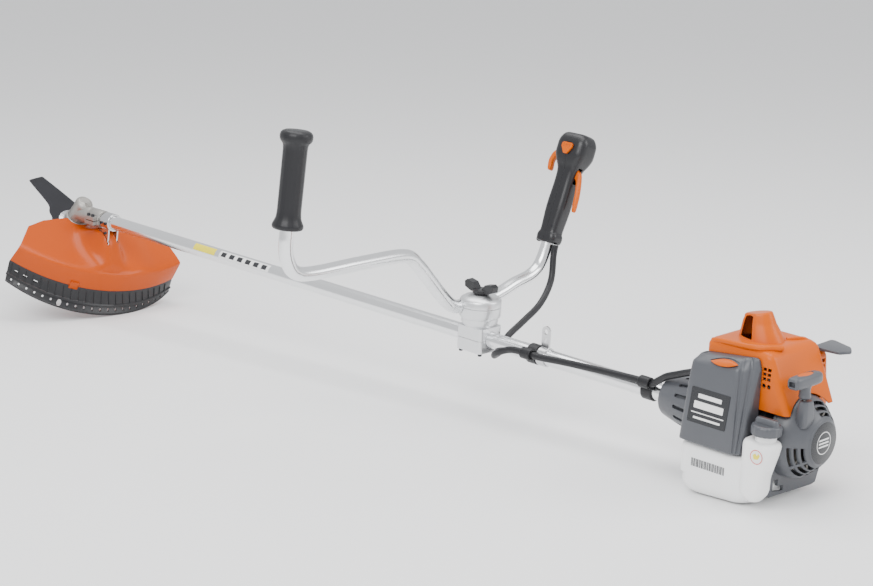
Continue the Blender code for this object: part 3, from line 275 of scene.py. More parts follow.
def turned(profile, axis="Z", centre=(0, 0, 0), segments=64, ring=False, waves=0, depth=0.0):
    """Turn (position, radius) points about an axis; waves flutes the round with that depth."""
    bm = bmesh.new()
    loops = []
    for along, radius in profile:
        if radius < 1e-6:
            loops.append([bm.verts.new(on_axis(along, 0, 0, axis, centre))] * segments)
            continue
        loop = []
        for i in range(segments):
            a = 2 * pi * i / segments
            r = radius - depth * (0.5 - 0.5 * cos(waves * a)) if waves else radius
            loop.append(bm.verts.new(on_axis(along, r * cos(a), r * sin(a), axis, centre)))
        loops.append(loop)
    pairs = list(zip(loops, loops[1:]))
    if ring:
        pairs.append((loops[-1], loops[0]))
    for first, second in pairs:
        faces_between(bm, first, second)
    if not ring:
        for loop in (loops[0], loops[-1]):
            if loop[0] is not loop[1]:
                bm.faces.new(loop)
    return tidy(bm)


def collar(low, high, inner, outer, rim, segments=72):
    """Ring along X with small chamfers on its outer edges."""
    return turned([(low, inner), (low, outer - rim), (low + rim, outer), (high - rim, outer),
                   (high, outer - rim), (high, inner)], "X", segments=segments, ring=True)


def on_axis(along, a, b, axis, centre):
    local = {"X": (along, a, b), "Y": (a, along, b), "Z": (a, b, along)}[axis]
    return Vector(local) + Vector(centre)


def prism(outline, low, high, axis="Z"):
    return loft([[on_axis(t, a, b, axis, (0, 0, 0)) for a, b in outline] for t in (low, high)])


def block(low, high):
    (x0, y0, z0), (x1, y1, z1) = low, high
    return prism([(x0, y0), (x1, y0), (x1, y1), (x0, y1)], z0, z1)


def rod(radius, low, high, axis="Z", centre=(0, 0, 0), segments=48):
    return turned([(low, radius), (high, radius)], axis, centre, segments)


def rounded(a0, a1, b0, b1, radius, steps=8):
    points = []
    corners = ((a1 - radius, b1 - radius, 0), (a0 + radius, b1 - radius, 90),
               (a0 + radius, b0 + radius, 180), (a1 - radius, b0 + radius, 270))
    for a, b, start in corners:
        for i in range(steps + 1):
            angle = radians(start + 90 * i / steps)
            points.append((a + radius * cos(angle), b + radius * sin(angle)))
    return points


def arc(centre, radius, start, end, steps):
    angles = [radians(start + (end - start) * i / steps) for i in range(steps + 1)]
    return [(centre[0] + radius * cos(a), centre[1] + radius * sin(a)) for a in angles]


def smooth_path(points, steps=8):
    """Catmull-Rom curve through the points."""
    pts = [Vector(p) for p in points]
    pts = [pts[0] * 2 - pts[1]] + pts + [pts[-1] * 2 - pts[-2]]
    path = []
    for a, b, c, d in zip(pts, pts[1:], pts[2:], pts[3:]):
        for i in range(steps):
            t = i / steps
            path.append(0.5 * (2 * b + (c - a) * t + (2 * a - 5 * b + 4 * c - d) * t * t
                               + (3 * b - a - 3 * c + d) * t ** 3))
    path.append(pts[-2])
    return path


def sweep(path, radius, segments=32):
    bm = bmesh.new()
    side, loops = None, []
    for i, point in enumerate(path):
        ahead = (path[min(i + 1, len(path) - 1)] - path[max(i - 1, 0)]).normalized()
        side = ahead.orthogonal() if side is None else side - ahead * side.dot(ahead)
        side.normalize()
        other = ahead.cross(side)
        loops.append([bm.verts.new(point + radius * (side * cos(a) + other * sin(a)))
                      for a in (2 * pi * k / segments for k in range(segments))])
    for first, second in zip(loops, loops[1:]):
        faces_between(bm, first, second)
    bm.faces.new(loops[0])
    bm.faces.new(loops[-1])
    return tidy(bm)


def joined(*pieces):
    bm = bmesh.new()
    for piece in pieces:
        mesh = bpy.data.meshes.new("piece")
        piece.to_mesh(mesh)
        bm.from_mesh(mesh)
        bpy.data.meshes.remove(mesh)
    return tidy(bm)


def boolean(base, tool, operation):
    objects = []
    for bm in (base, tool):
        mesh = bpy.data.meshes.new("work")
        bm.to_mesh(mesh)
        objects.append(linked(bpy.data.objects.new("work", mesh)))
    modifier = objects[0].modifiers.new("boolean", "BOOLEAN")
    modifier.operation = operation
    modifier.solver = "EXACT"
    modifier.object = objects[1]
    result = bmesh.new()
    result.from_object(objects[0], bpy.context.evaluated_depsgraph_get())
    for obj in objects:
        mesh = obj.data
        bpy.data.objects.remove(obj)
        bpy.data.meshes.remove(mesh)
    bmesh.ops.remove_doubles(result, verts=result.verts, dist=0.002)
    bmesh.ops.dissolve_limit(result, angle_limit=radians(0.3), verts=result.verts, edges=result.edges)
    return result


def cut(base, *tools):
    for tool in tools:
        base = boolean(base, tool, "DIFFERENCE")
    return base


def union(base, *others):
    for other in others:
        base = boolean(base, other, "UNION")
    return base


def overlap(base, tool):
    return boolean(base, tool, "INTERSECT")


def piece(name, bm, mat, body="machine", replaces=(), drawn_in=MACHINE, angle=30, bevel=0.0):
    """Make an object of the visual model; bevel rounds its sharp edges by so many millimetres."""
    bm.transform(drawn_in)
    tidy(bm)
    mesh = bpy.data.meshes.new(name)
    bm.to_mesh(mesh)
    bm.free()
    mesh.shade_smooth()
    mesh.set_sharp_from_angle(angle=radians(angle))
    mesh.materials.append(MATS[mat])
    obj = linked(bpy.data.objects.new(name, mesh))
    if bevel:
        round_edges = obj.modifiers.new("round_edges", "BEVEL")
        round_edges.width = bevel * MM
        round_edges.segments = 3
        round_edges.limit_method = "ANGLE"
        round_edges.angle_limit = radians(angle)
    if body:
        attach(obj, body)
    if replaces:
        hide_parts(*replaces)
    return obj


# ---------------------------------------------------------------- handlebar and shaft

BAR_POINTS = ((-392.6, 362.5), (-399.1, 300), (-406, 233), (-408, 212), (-405, 188), (-390, 166),
              (-354, 158), (-250, 158), (-161, 155), (-130, 136), (-102, 107), (-62, 66),
              (-36, BAR_Z), (0, BAR_Z), (34, BAR_Z), (66, 58), (100, 68), (138, 76), (162, 92),
              (180.5, 129.9), (192.3, 160.3), (204.2, 190.9))
CABLE_POINTS = ((-668, 178.5, 124.9), (-667, 174, 108), (-658, 160, 68), (-646, 122, 38),
                (-638, 72, 18), (-633, 32, 2), (-630, 12, -18), (-624, -8, -20.5), (-608, -20, -10),
                (-580, -21, 2), (-553, -21, 4.5), (-533, -21, 4.5), (-515, -21, 4.6),
                (-460, -19.8, 9), (-395, -18, 12.5), (-335, -15.5, 14.9), (-320, -15.5, 14.9),
                (-300, -15.5, 14.9), (-284, -17, 25), (-269, -19, 35), (-250, -21, 43),
                (-228, -24, 52), (-205, -30, 60), (-178, -42, 62), (-160, -46.5, 68),
                (-143, -46.5, 74))


def handlebar():
    path = []
    for p in smooth_path([Vector((BAR_X, y, z)) for y, z in BAR_POINTS], 8):
        if abs(p.y) < 37:
            p.z = BAR_Z
        if p.y > CONTROL_BASE.y:
            p.y = CONTROL_BASE.y + (p.z - CONTROL_BASE.z) * tan(CONTROL_LEAN)
        path.append(p)
    piece("handlebar", sweep(path, BAR_R, 40), "polished", "handlebar", ["handlebar_tube"], angle=60)


def cable():
    body = sweep(smooth_path(CABLE_POINTS, 8), 5.5, 24)
    obj = piece("cable", body, "rubber", None, angle=60)
    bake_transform(obj)
    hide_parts("throttle_cable")


def grip():
    """Smooth rubber grip with a rounded foot and a mushroom top."""
    profile = [(0.3, 12), (0, 20), (0.8, 22), (2.4, 23.2), (5, 23.6), (8, 23), (12, 21), (17, 19), (24, 18.2),
               (30, 18), (118, 18.2), (124, 18.8), (127.4, 20.4), (129.6, 22.6), (132, 24), (135.4, 24.6),
               (139, 24.5), (142, 23.6), (144.6, 21.4), (146.3, 17.6), (147, 12), (147, 0)]
    piece("grip", turned(profile, segments=72, waves=16, depth=0.25), "rubber", "handlebar", ["left_grip"],
          GRIP, angle=50)


def tube():
    """Drive tube with the harness ring and the two rubber cable clips."""
    body = collar(-1688, -240, 11.5, 13, 0.4, segments=96)
    piece("tube", body, "polished", "machine", ["shaft_tube"], angle=40)
    ring = collar(-531.5, -516, TUBE_HOLE, 15.5, 0.4)
    lug = prism([(-531.5, 14), (-516, 14)] + arc((-523.75, 42), 7.75, 0, 180, 24), -2, 2, "Y")
    holes = union(rod(4.5, -10, 10, "Y", (-524, 0, 41), 32), block((-526, -10, 22), (-522, 10, 31)))
    piece("harness_ring", cut(union(ring, lug), holes), "steel", "machine", ["harness_bracket"], angle=35,
          bevel=0.4)
    for name, x, around in (("cable_clip_front", -543, 168), ("cable_clip_rear", -310, 136)):
        band = turned([(-10, 13.3), (-10, 15.2), (-9, 16), (9, 16), (10, 15.2), (10, 13.3)], "X",
                      segments=72, ring=True)
        eye = turned([(-10, 6.5), (-10, 8.8), (-9, 9.5), (9, 9.5), (10, 8.8), (10, 6.5)], "X",
                     (0, 21.5, 0), 48, ring=True)
        gap = union(rod(TUBE_HOLE, -20, 20, "X", segments=72), rod(6.5, -20, 20, "X", (0, 21.5, 0)))
        place = Matrix.Translation((x, 0, 0)) @ Matrix.Rotation(radians(around), 4, "X")
        piece(name + "_shape", moved(cut(union(band, eye), gap), place), "rubber", "machine", [name])


def clamp():
    """Handlebar clamp: a base round the tube, a turning saddle and cap round the bar, and the knob."""
    tube_hole = rod(TUBE_HOLE, -720, -620, "X", segments=96)
    centre = (CLAMP_X, 0, 0)

    def half(low, high):
        return prism(rounded(-694, -640, -25, 25, 6, 10), low, high)

    def bar_and_screw():
        return union(rod(BAR_R + 0.3, -60, 60, "Y", (BAR_X, 0, BAR_Z), 64), rod(4.4, 20, 100, centre=centre))
    strap = cut(half(-21, -0.4), tube_hole.copy())
    piece("clamp_strap", strap, "satin", "machine", ["handle_base_strap"], angle=35, bevel=1.2)
    pedestal = turned([(16, 0), (16, 24), (19, 25.4), (23, 28.4), (26.4, 30), (33.7, 30), (33.7, 0)],
                      centre=centre, segments=96)
    piece("clamp_base", cut(union(half(0, 20), pedestal), tube_hole), "satin", "machine",
          ["handle_base_upper"], angle=35, bevel=1.0)
    saddle = turned([(34.1, 0), (34.1, 32), (37, 34), (51.7, 34), (51.7, 0)], centre=centre, segments=96)
    piece("clamp_saddle", cut(saddle, bar_and_screw()), "satin", "handlebar", ["handle_saddle"], angle=35,
          bevel=0.8)
    cap_shape = turned([(52.3, 0), (52.3, 34), (62, 34), (65, 32), (68, 27), (70.4, 19), (71.5, 12),
                        (71.5, 0)], centre=centre, segments=96)
    piece("clamp_cap", cut(cap_shape, bar_and_screw()), "satin", "handlebar", ["handle_cap"], angle=35,
          bevel=0.8)
    hub = turned([(38, 0), (38, 4), (71.9, 4), (71.9, 11), (74, 14), (78, 13.4), (80, 11.6), (80, 0)],
                 centre=centre, segments=72)
    left = [(CLAMP_X - 6, 74), (CLAMP_X - 6, 80), (CLAMP_X - 13, 89), (CLAMP_X - 26, 91.5),
            (CLAMP_X - 31, 88), (CLAMP_X - 30, 79), (CLAMP_X - 17, 74)]
    right = [(2 * CLAMP_X - x, z) for x, z in left]
    piece("knob", union(hub, prism(left, -6.5, 6.5, "Y"), prism(right, -6.5, 6.5, "Y")), "black", "wing_knob",
          ["wing_knob"], angle=25, bevel=1.2)


def shaft_labels():
    """Plain printed bands on the tube ahead of the handlebar: a yellow panel and a row of marks."""
    def wrap(x0, x1, spread, lift=0.1):
        outer = arc((0, 0), 13.02 + lift, 141 - spread, 141 + spread, 24)
        inner = arc((0, 0), 12.9, 141 + spread, 141 - spread, 24)
        return prism(outer + inner, x0, x1, "X")
    piece("label_yellow", wrap(-1378, -1318, 30), "yellow_label")
    piece("label_strip", wrap(-1306, -1170, 32), "white_label")
    piece("label_marks", joined(*[wrap(x, x + 13, 20, 0.16) for x in range(-1300, -1185, 22)]), "dark_label")


def clamp_screws():
    """Cap screws of the handlebar clamp, the gearbox clamp and the guard's bracket."""
    def screw(at, direction, radius=3.4, height=4.5):
        head = turned([(0, 0), (0, radius), (height - 0.6, radius), (height, radius - 0.6),
                       (height, radius * 0.55), (height - 2.4, radius * 0.5), (height - 2.4, 0)],
                      segments=24)
        turn = Vector((0, 0, 1)).rotation_difference(Vector(direction)).to_matrix().to_4x4()
        return moved(head, Matrix.Translation(Vector(at)) @ turn)
    screws = []
    for x in (HEAD_X + 57, HEAD_X + 70):
        screws.append(screw((x, -21, 8.0), (0, 0, 1)))
    for x, y in ((-688, -19), (-688, 19), (-646, -19), (-646, 19)):
        screws.append(screw((x, y, -21), (0, 0, -1)))
    for x in (-1650, -1637):
        screws.append(screw((x, -17, 0), (0, -1, 0), 2.8, 3.2))
    piece("cap_screws", joined(*screws), "dark_steel")


# ---------------------------------------------------------------- engine

def cover_front(z):
    """The filter cover's front face leans in, more so above z = 100."""
    if z < 100:
        return -103 + (z + 18) * 0.161
    return -84 + (z - 100) ** 1.35 * 0.27


def cut_corners(points, rounds=2):
    """Round an open outline's corners by cutting them, keeping its two ends."""
    for _ in range(rounds):
        finer = [points[0]]
        for a, b in zip(points, points[1:]):
            finer += [a * 0.8 + b * 0.2, a * 0.2 + b * 0.8]
        points = finer + [points[-1]]
    return points


def cover_top(x, z):
    """Height of a point of the cover once its top is pressed down toward the front end."""
    return z - max(0.0, z - 80) / 42 * (5 + (-79 - x) * 0.12)


def cover_level(z, inset, shrink=0.0):
    """Outline of the filter cover at level z, with two shallow flutes in its rear corner."""
    front = cover_front(z) + shrink
    left = -180 + max(0.0, z - 104) * 0.55 + shrink
    back = max(0.0, z - 104) * 0.25 + shrink
    open_side = -50 if inset else -57.5
    start = Vector((-86 - (z + 18) * 0.12 - back, front))
    end = Vector((-75 - back, min(front + 9 + (z + 18) * 0.11, -61)))
    run = end - start
    out = Vector((run.y, -run.x)).normalized()
    points = [Vector((left - 5, open_side)), Vector((left - 5, -64)), Vector((left, front + 5)),
              Vector((left + 5, front))]
    for t, depth in ((0, 0), (0.14, 0), (0.2, 1.5), (0.28, 1.5), (0.34, 0), (0.54, 0), (0.6, 1.5),
                     (0.68, 1.5), (0.74, 0), (1, 0)):
        points.append(start + run * t - out * depth)
    points += [Vector((-75 - back, -60)), Vector((-75 - back, open_side))]
    if inset:
        middle = Vector((-125, -50))
        wall = [(middle + (p - middle) * 0.955) for p in points]
        points = [Vector((p.x, max(p.y, front + inset))) for p in wall]
        points[0].y = points[-1].y = open_side
    return [Vector((p.x, p.y, cover_top(p.x, z))) for p in cut_corners(points, 1 if inset else 2)]


def lens(centre_z, reach, radius, half_angle, steps=24):
    """Pointed oval between two arcs, as (x, z) points round the latch's middle."""
    upper = arc((-124, centre_z - reach), radius, 90 - half_angle, 90 + half_angle, steps)[:-1]
    lower = arc((-124, centre_z + reach), radius, 270 - half_angle, 270 + half_angle, steps)[:-1]
    return lower + upper


def filter_cover():
    levels = [(-18, 1.2), (-17.2, 0.3), (-16, 0), (80, 0)] + [(z, 0) for z in range(98, 118, 2)]
    levels += [(118, 0.3), (119.6, 1.2), (120.9, 2.6), (121.7, 4.6), (122, 7)]
    outer = loft([cover_level(z, 0, shrink) for z, shrink in levels])
    inner = loft([cover_level(z, 2.4) for z in (-15.5, 80, 98, 104, 110, 116)])
    outline = lens(111, 45, 52, 31)
    recess = loft([[Vector((x, cover_front(z) + lift, cover_top(x, z))) for x, z in outline]
                   for lift in (-6, 1.6)])
    piece("filter_cover_shell", cut(outer, inner, recess), "grey", "machine", ["filter_cover"], angle=38)


def panel_on_cover(name, x0, x1, z0, z1, lift, thick, mat, radius=2.0):
    """Thin panel lying on the cover's leaning front."""
    outline = rounded(x0, x1, z0, z1, radius, 5)
    rings = [[Vector((x, cover_front(z) - d, cover_top(x, z))) for x, z in outline]
             for d in (lift, lift + thick)]
    piece(name, loft(rings), mat)


def cover_badge():
    panel_on_cover("badge_panel", -168, -101, 11, 61, -0.2, 0.7, "dark_label")
    rows = ((47, 53, -155, -114), (32, 42, -160, -109), (25, 26.5, -163, -106), (17, 20, -158, -111))
    for i, (z0, z1, x0, x1) in enumerate(rows):
        panel_on_cover(f"badge_bar_{i}", x0, x1, z0, z1, 0.4, 0.2, "white_label", 0.8)


def latch():
    """Lens-shaped lever in the recess, thicker along its middle."""
    rings = []
    for lift, size in ((1.2, 1.0), (3.4, 1.0), (4.2, 0.9), (4.5, 0.75)):
        rings.append([Vector((-124 + (x + 124) * size, cover_front(111 + (z - 111) * size) - lift,
                              cover_top(x, 111 + (z - 111) * size))) for x, z in lens(111, 44.3, 50, 28)])
    piece("latch", loft(rings), "orange", "cover_latch", ["cover_latch"])


def shroud_level(z, inset, shrink=0.0):
    rear = -28 - (z - 42) * 0.42
    inward = inset + shrink
    right = 64 - (z - 42) * 0.02
    points = rounded(-175 + inward, rear - inward, -56 + inward, right - inward, 10, 8)
    return [Vector((a, b, z)) for a, b in points]


def hood(inset):
    """Oval cone with a flat top that rises to the rear."""
    rings = []
    keys = smooth_path([(118, -118, 38), (130, -119.5, 34), (150, -125, 25.5), (159, -127.5, 21.5)], 6)
    widths = smooth_path([(118, 31, 0), (130, 28, 0), (150, 21, 0), (159, 18.2, 0)], 6)
    for key, width in zip(keys, widths):
        rings.append((key.x, key.y, key.z - inset, width.y - inset, 0.22 * max(0.0, (key.x - 150) / 9)))
    top = 160.5 - inset
    for drop, shrink in ((0.8, 0.4), (1.8, 1.2), (2.4, 2.4), (2.6, 4.2)):
        rings.append((top + drop, -128 - shrink * 0.1, 21.2 - inset - shrink, 18 - inset - shrink, 0.22))
    circle = arc((0, 0), 1, 0, 360, 56)[:-1]
    return loft([[Vector((x + across * a, along * b, z + across * a * rise)) for a, b in circle]
                 for z, x, across, along, rise in rings])


def hood_opening():
    """The space in front of a plane that slices the hood open toward the left front."""
    beyond = moved(block((0, -60, 0), (80, 60, 90)), Matrix.Rotation(radians(-13), 4, "Y"))
    place = Matrix.Translation((-122, -4, 0)) @ Matrix.Rotation(radians(-111), 4, "Z")
    return moved(beyond, place @ Matrix.Translation((19.5, 0, 128.5)))


def shroud():
    wall = 2.5
    levels = [(42, 0), (116, 0), (118.5, 0.5), (121, 1.6), (123, 3.2), (124.8, 5.4), (126, 8), (126.8, 11.5),
              (127, 15)]
    outer = union(loft([shroud_level(z, 0, s) for z, s in levels]), hood(0))
    inner_levels = ((30, 0), (115, 0), (119, 2), (122, 5), (124, 12))
    inner = union(loft([shroud_level(z, wall, s) for z, s in inner_levels]), hood(wall))
    tools = [rod(63.5, -66, -10, "X", segments=96), rod(54, -190, -150, "X", segments=72),
             block((-150, -70, 30), (-84, -50, 84)), block((-155, 50, 30), (-70, 80, 96)),
             rod(9, -185, -158, "X", (0, -44, 63), 32), hood_opening()]
    vents = []
    for z in (86, 93, 100):
        for x in (-74, -66.4):
            vents.append(block((x, -64, z), (x + 6, -50, z + 4.6)))
    vents += [rod(3.3, -64, -50, "Y", (x, 0, 78), 24) for x in (-71, -62.6)]
    body = cut(cut(outer, inner), *tools, joined(*vents))
    piece("shroud", body, "orange", "machine", ["engine_shroud"], angle=35, bevel=0.7)
    rail = sweep(smooth_path([(-168, -50, 121), (-150, -52, 124.5), (-110, -53, 127), (-88, -50, 128.5),
                              (-74, -38, 129), (-66, -24, 128)], 6), 4.2, 20)
    rib = sweep(smooth_path([(-92, 22, 127), (-84, 34, 128), (-78, 46, 127), (-74, 56, 120)], 6), 2.6, 20)
    piece("shroud_rails", joined(rail, rib), "orange", angle=60)


def starter():
    """Dished recoil cover with three rings of slots, split by ribs."""
    dish = turned([(-16, 0), (-16, 4), (-5.5, 4), (-5.5, 34.2), (-8, 37), (-25, 51.7), (-32, 56.6),
                   (-48, 59.5), (-48, 62), (-36.5, 61.2), (-33, 60.2), (-29.5, 58.6), (-26, 56.4),
                   (-22, 53.2), (-7.6, 40.5), (-5.4, 38), (-3.8, 35), (-3.2, 33.2), (-2.4, 32.5), (-0.9, 32),
                   (-0.5, 31.5), (-0.5, 0)], "X", segments=144)
    boss = loft([[Vector((x, y, z)) for x, y in rounded(-23 - s, -4 + s, -45 - s, -21 + s, 5, 6)]
                 for z, s in ((27, -4), (36, -1), (41, 0), (62, -1.6), (65, -2), (66, -3))])
    slots = []
    for inner, outer, ribs in ((37.6, 42.2, 9), (44.4, 48.8, 9), (50.8, 55.2, 9)):
        for i in range(ribs):
            start = 360 / ribs * i - 58
            if 84 < start % 360 + 16 < 164:
                continue
            outline = arc((0, 0), outer, start, start + 34, 10) + arc((0, 0), inner, start + 34, start, 10)
            slots.append(prism(outline, -34, 5, "X"))
    rope_hole = moved(rod(3, 20, 90, segments=24),
                      Matrix.Translation((-13, -33, 0)) @ Matrix.Rotation(-SHAFT_TILT, 4, "Y"))
    body = cut(union(dish, boss), joined(*slots), rope_hole)
    piece("starter_shell", body, "grey", "machine", ["starter_cover"], angle=35, bevel=0.5)
    piece("starter_disc", turned([(-0.9, 0), (-0.9, 30.6), (-0.35, 30.6), (-0.05, 30), (-0.05, 0)],
                                 "X", segments=96), "dark_label")
    ring = turned([(-0.2, 15.6), (0, 15.6), (0, 16.8), (-0.2, 16.8)], "X", segments=72, ring=True)
    bars = [prism(rounded(-12, 12, z - 1.2, z + 1.2, 1, 4), -0.2, 0, "X") for z in (-5, 0, 5)]
    piece("starter_emblem", joined(ring, *bars), "white_label")


def pull_handle():
    """T handle with a sunk orange panel in its top."""
    pull = MACHINE @ Matrix.Translation((-13, -33, 0)) @ Matrix.Rotation(-SHAFT_TILT, 4, "Y")
    neck = turned([(68, 0), (68, 6), (69, 7.6), (72, 9), (77, 8.2), (82, 8), (86, 9), (90, 10.4), (90, 0)],
                  segments=48)
    half = ((-32, 6, 5), (-31.4, 7.4, 6.5), (-30, 8.8, 7.8), (-27.5, 9.7, 8.8), (-18, 10.3, 9.3))
    stations = half + ((0, 10.5, 9.5),) + tuple((-y, s, h) for y, s, h in reversed(half))
    bar = loft([[Vector((a, y, b)) for a, b in rounded(-s, s, 95 - h, 95 + h, min(s, h) * 0.7, 7)]
                for y, s, h in stations])
    def oval(reach, half_angle, low, high):
        outline = arc((0, reach - 0.8), reach + 6, 270 - half_angle, 270 + half_angle, 16)[:-1]
        outline += arc((0, 0.8 - reach), reach + 6, 90 - half_angle, 90 + half_angle, 16)[:-1]
        return moved(prism(outline, low, high), Matrix.Rotation(radians(90), 4, "Z"))
    hollow = block((-5.2, -40, 91), (5.2, -26, 98.5))
    body = cut(union(neck, bar), oval(30, 30, 103, 110), hollow)
    piece("pull_handle", body, "grey", "starter_handle", ["starter_handle"], pull, 35, 0.3)
    piece("pull_inset", oval(29.6, 29, 102.8, 103.7), "orange", "starter_handle", (), pull)


def clutch():
    profile = [(-161, 52), (-168, 52), (-170, 51.8), (-172, 51.2), (-198, 46.4), (-202, 45.6), (-250, 36),
               (-270, 31), (-273, 30), (-275, 28.6), (-276, 27), (-276, 13.3),
               (-239.7, 13.3), (-239.7, 9), (-232, 9), (-232, 16.3), (-222, 16.3), (-222, 24),
               (-204, 41), (-161, 41)]
    body = turned(profile, "X", segments=128, ring=True)
    slots = []
    for i in range(14):
        for low, high in ((-241, -209), (-200, -184)):
            slot = prism(rounded(low, high, -2.8, 2.8, 2.4, 4), 33, 60)
            slots.append(moved(slot, Matrix.Rotation(2 * pi * (i + 0.5) / 14, 4, "X")))
    piece("clutch_shell", cut(body, joined(*slots)), "grey", "machine", ["clutch_housing"], angle=35,
          bevel=0.5)


def cap():
    """Two-lobed fuel cap with a raised grip bar."""
    centre = (-42, -82, 0)
    lid = turned([(20, 0), (20, 20.6), (21, 21.8), (24, 22), (31, 22), (33.2, 21.2), (34.5, 19.6), (35, 17.4),
                  (34.3, 14), (34, 0)], centre=centre, segments=96, waves=18, depth=0.7)
    bar = loft([[Vector((x, y, z)) for x, y in rounded(-61 + s, -23 - s, -88 + s, -76 - s, 5 - s * 0.5, 6)]
                for z, s in ((33, 0), (39, 0.6), (42, 1.6), (43, 3.2))])
    plug = rod(12.3, 10, 21, centre=centre)
    piece("cap", union(lid, bar, plug), "grey", "fuel_cap", ["fuel_cap"], angle=40)


def ground(x):
    return (x * sin(SHAFT_TILT) - CRANK_HEIGHT / MM) / cos(SHAFT_TILT)


def tank():
    """Blow-moulded tank, rounded all over, with a filler tower at its left rear."""
    def box(x0, x1, y0, y1, radius, levels, foot=()):
        rings = []
        rows = [(height, shrink, 0, True) for height, shrink in foot]
        for height, shrink, narrowing, on_ground in rows + [(*level, False) for level in levels]:
            corner = min(radius, (y1 - y0) / 2 - shrink - 1)
            outline = rounded(x0 + shrink, x1 - shrink - narrowing, y0 + shrink, y1 - shrink, corner, 8)
            rings.append([Vector((a, b, (ground(a) if on_ground else 0) + height)) for a, b in outline])
        return loft(rings)
    foot = ((0, 24), (0.6, 19), (2, 14.5), (4.5, 10), (8, 6.2), (12, 3.4), (17, 1.3), (22, 0))
    slab = box(-182, -56, -95, 50, 22, [(-60, 0, 0), (-57, 0.8, 0), (-55.2, 2.2, 0), (-54.5, 4, 0)], foot)
    riser = box(-182, -56, -95, -50, 14, [(-68, 0, 0), (-30, 0, 0), (-26, 0.7, 0), (-23.4, 2.4, 0),
                                          (-22, 5, 0)])
    tower = box(-72, -21, -103, -62.8, 14, [(-80, 8, 14), (-76, 4.6, 14), (-71, 1.6, 14), (-64, 0, 14),
                                            (-48, 0, 13.6), (-42, 0, 12.6), (-34, 0, 10), (-8, 0, 2.2),
                                            (0, 0, 0.4), (4, 0, 0), (7.6, 0.8, 0), (9.8, 2.4, 0),
                                            (11, 5, 0)])
    neck = turned([(-30, 0), (-30, 15), (19.7, 15), (19.7, 12.8), (12, 12.8), (12, 0)],
                  centre=(-42, -82, 0), segments=64)
    piece("tank", union(slab, riser, tower, neck), "tank", "machine", ["fuel_tank"], angle=45, bevel=0.8)


def tank_labels():
    """A round warning sticker on the filler tower and a plain strip of bars on the tank's left face."""
    tower, slab = -103.1, -95.1

    def disc(radius, low, high, ring=0):
        return turned([(low, ring), (low, radius), (high, radius), (high, ring)], "Y", (-41, 0, -9), 48,
                      ring > 0)
    piece("tank_sticker", disc(10.5, tower - 0.15, tower), "white_label")
    piece("tank_sticker_ring", disc(10.5, tower - 0.25, tower - 0.1, 9.3), "red_label")
    flame = [(-45, -13), (-38, -12), (-35, -6), (-38, -3), (-40, -7), (-43, -4), (-47, -7)]
    piece("tank_sticker_flame", prism(flame, tower - 0.25, tower - 0.1, "Y"), "yellow_label")
    bars = []
    x = -157.0
    for i in range(26):
        width = 0.9 + 0.8 * ((i * 7) % 3) / 2
        bars.append(prism([(x, -55), (x + width, -55), (x + width, -43), (x, -43)], slab - 0.2, slab, "Y"))
        x += width + 0.7 + 0.6 * ((i * 5) % 2)
    piece("tank_bars", joined(*bars), "dark_label")


def muffler_shell():
    """Perforated outer shell over the muffler, with a column of holes in its rear face."""
    def level(inset, y_open):
        rings = []
        for f, shrink in ((0, 0), (0.8, 0), (0.88, 0.6), (0.95, 2.2), (0.99, 4.2), (1, 6)):
            ring = []
            for a, b in rounded(-160 + inset, -62 - inset, 15 + inset, 108 - inset, 12, 8):
                face = 100 - (b - 15) * 0.172 - inset
                a = a + (shrink if a < -111 else -shrink)
                ring.append(Vector((a, y_open + (face - y_open) * f, b)))
            rings.append(ring)
        return loft(rings)
    slots = [block((x, 76, 32 + lift), (x + 5, 110, 84 - lift))
             for x, lift in ((-148, 6), (-138, 3), (-128, 0), (-118, 0), (-108, 0), (-98, 3), (-88, 6))]
    slots += [block((-75, 70, z), (-50, 80, z + 5)) for z in range(27, 95, 9)]
    piece("muffler_shell", cut(cut(level(0, 66.8), level(2.5, 60)), joined(*slots)), "orange", "machine",
          ["muffler_guard"], angle=38, bevel=0.5)


def bumper():
    outline = [(-74, 63.5), (-76, 110), (-74, 113), (-70, 114), (-38, 103), (-33, 100), (-24, 88),
               (-22.5, 83), (-30, 68), (-34, 66), (-54, 63.5)]
    rings = []
    middle = Vector((-50, 88))
    for z, size in ((109.5, 0.97), (110.1, 1.0), (113.2, 1.0), (113.8, 0.985), (114, 0.96)):
        rings.append([Vector((*(middle + (Vector(p) - middle) * size), z)) for p in outline])
    piece("bumper", loft(rings), "grey", "machine", ["rear_bumper"], angle=50)


# ---------------------------------------------------------------- guard and blade

SKIRT_ARC = ((67, -180), (168, 152), 237.4)     # ends and radius of the skirt's lower edge
SKIRT_Z = -86.0
BLADE_R, BLADE_LOW, BLADE_HIGH = 131.0, -33.9, -32.1
FIRST_TOOTH = -173.4                            # degrees round the output axis at rest


def guard_front(t):
    """Front edge of the guard's top plate, left to right."""
    edge = [(5, -120), (-3, -81), (0, -30), (8, 10), (16, 45), (35, 105), (100, 153)]
    lengths = [0.0]
    for a, b in zip(edge, edge[1:]):
        lengths.append(lengths[-1] + hypot(b[0] - a[0], b[1] - a[1]))
    want = t * lengths[-1]
    for i in range(len(edge) - 1):
        if want <= lengths[i + 1] + 1e-6:
            f = (want - lengths[i]) / (lengths[i + 1] - lengths[i])
            return Vector((edge[i][0] + f * (edge[i + 1][0] - edge[i][0]),
                           edge[i][1] + f * (edge[i + 1][1] - edge[i][1])))


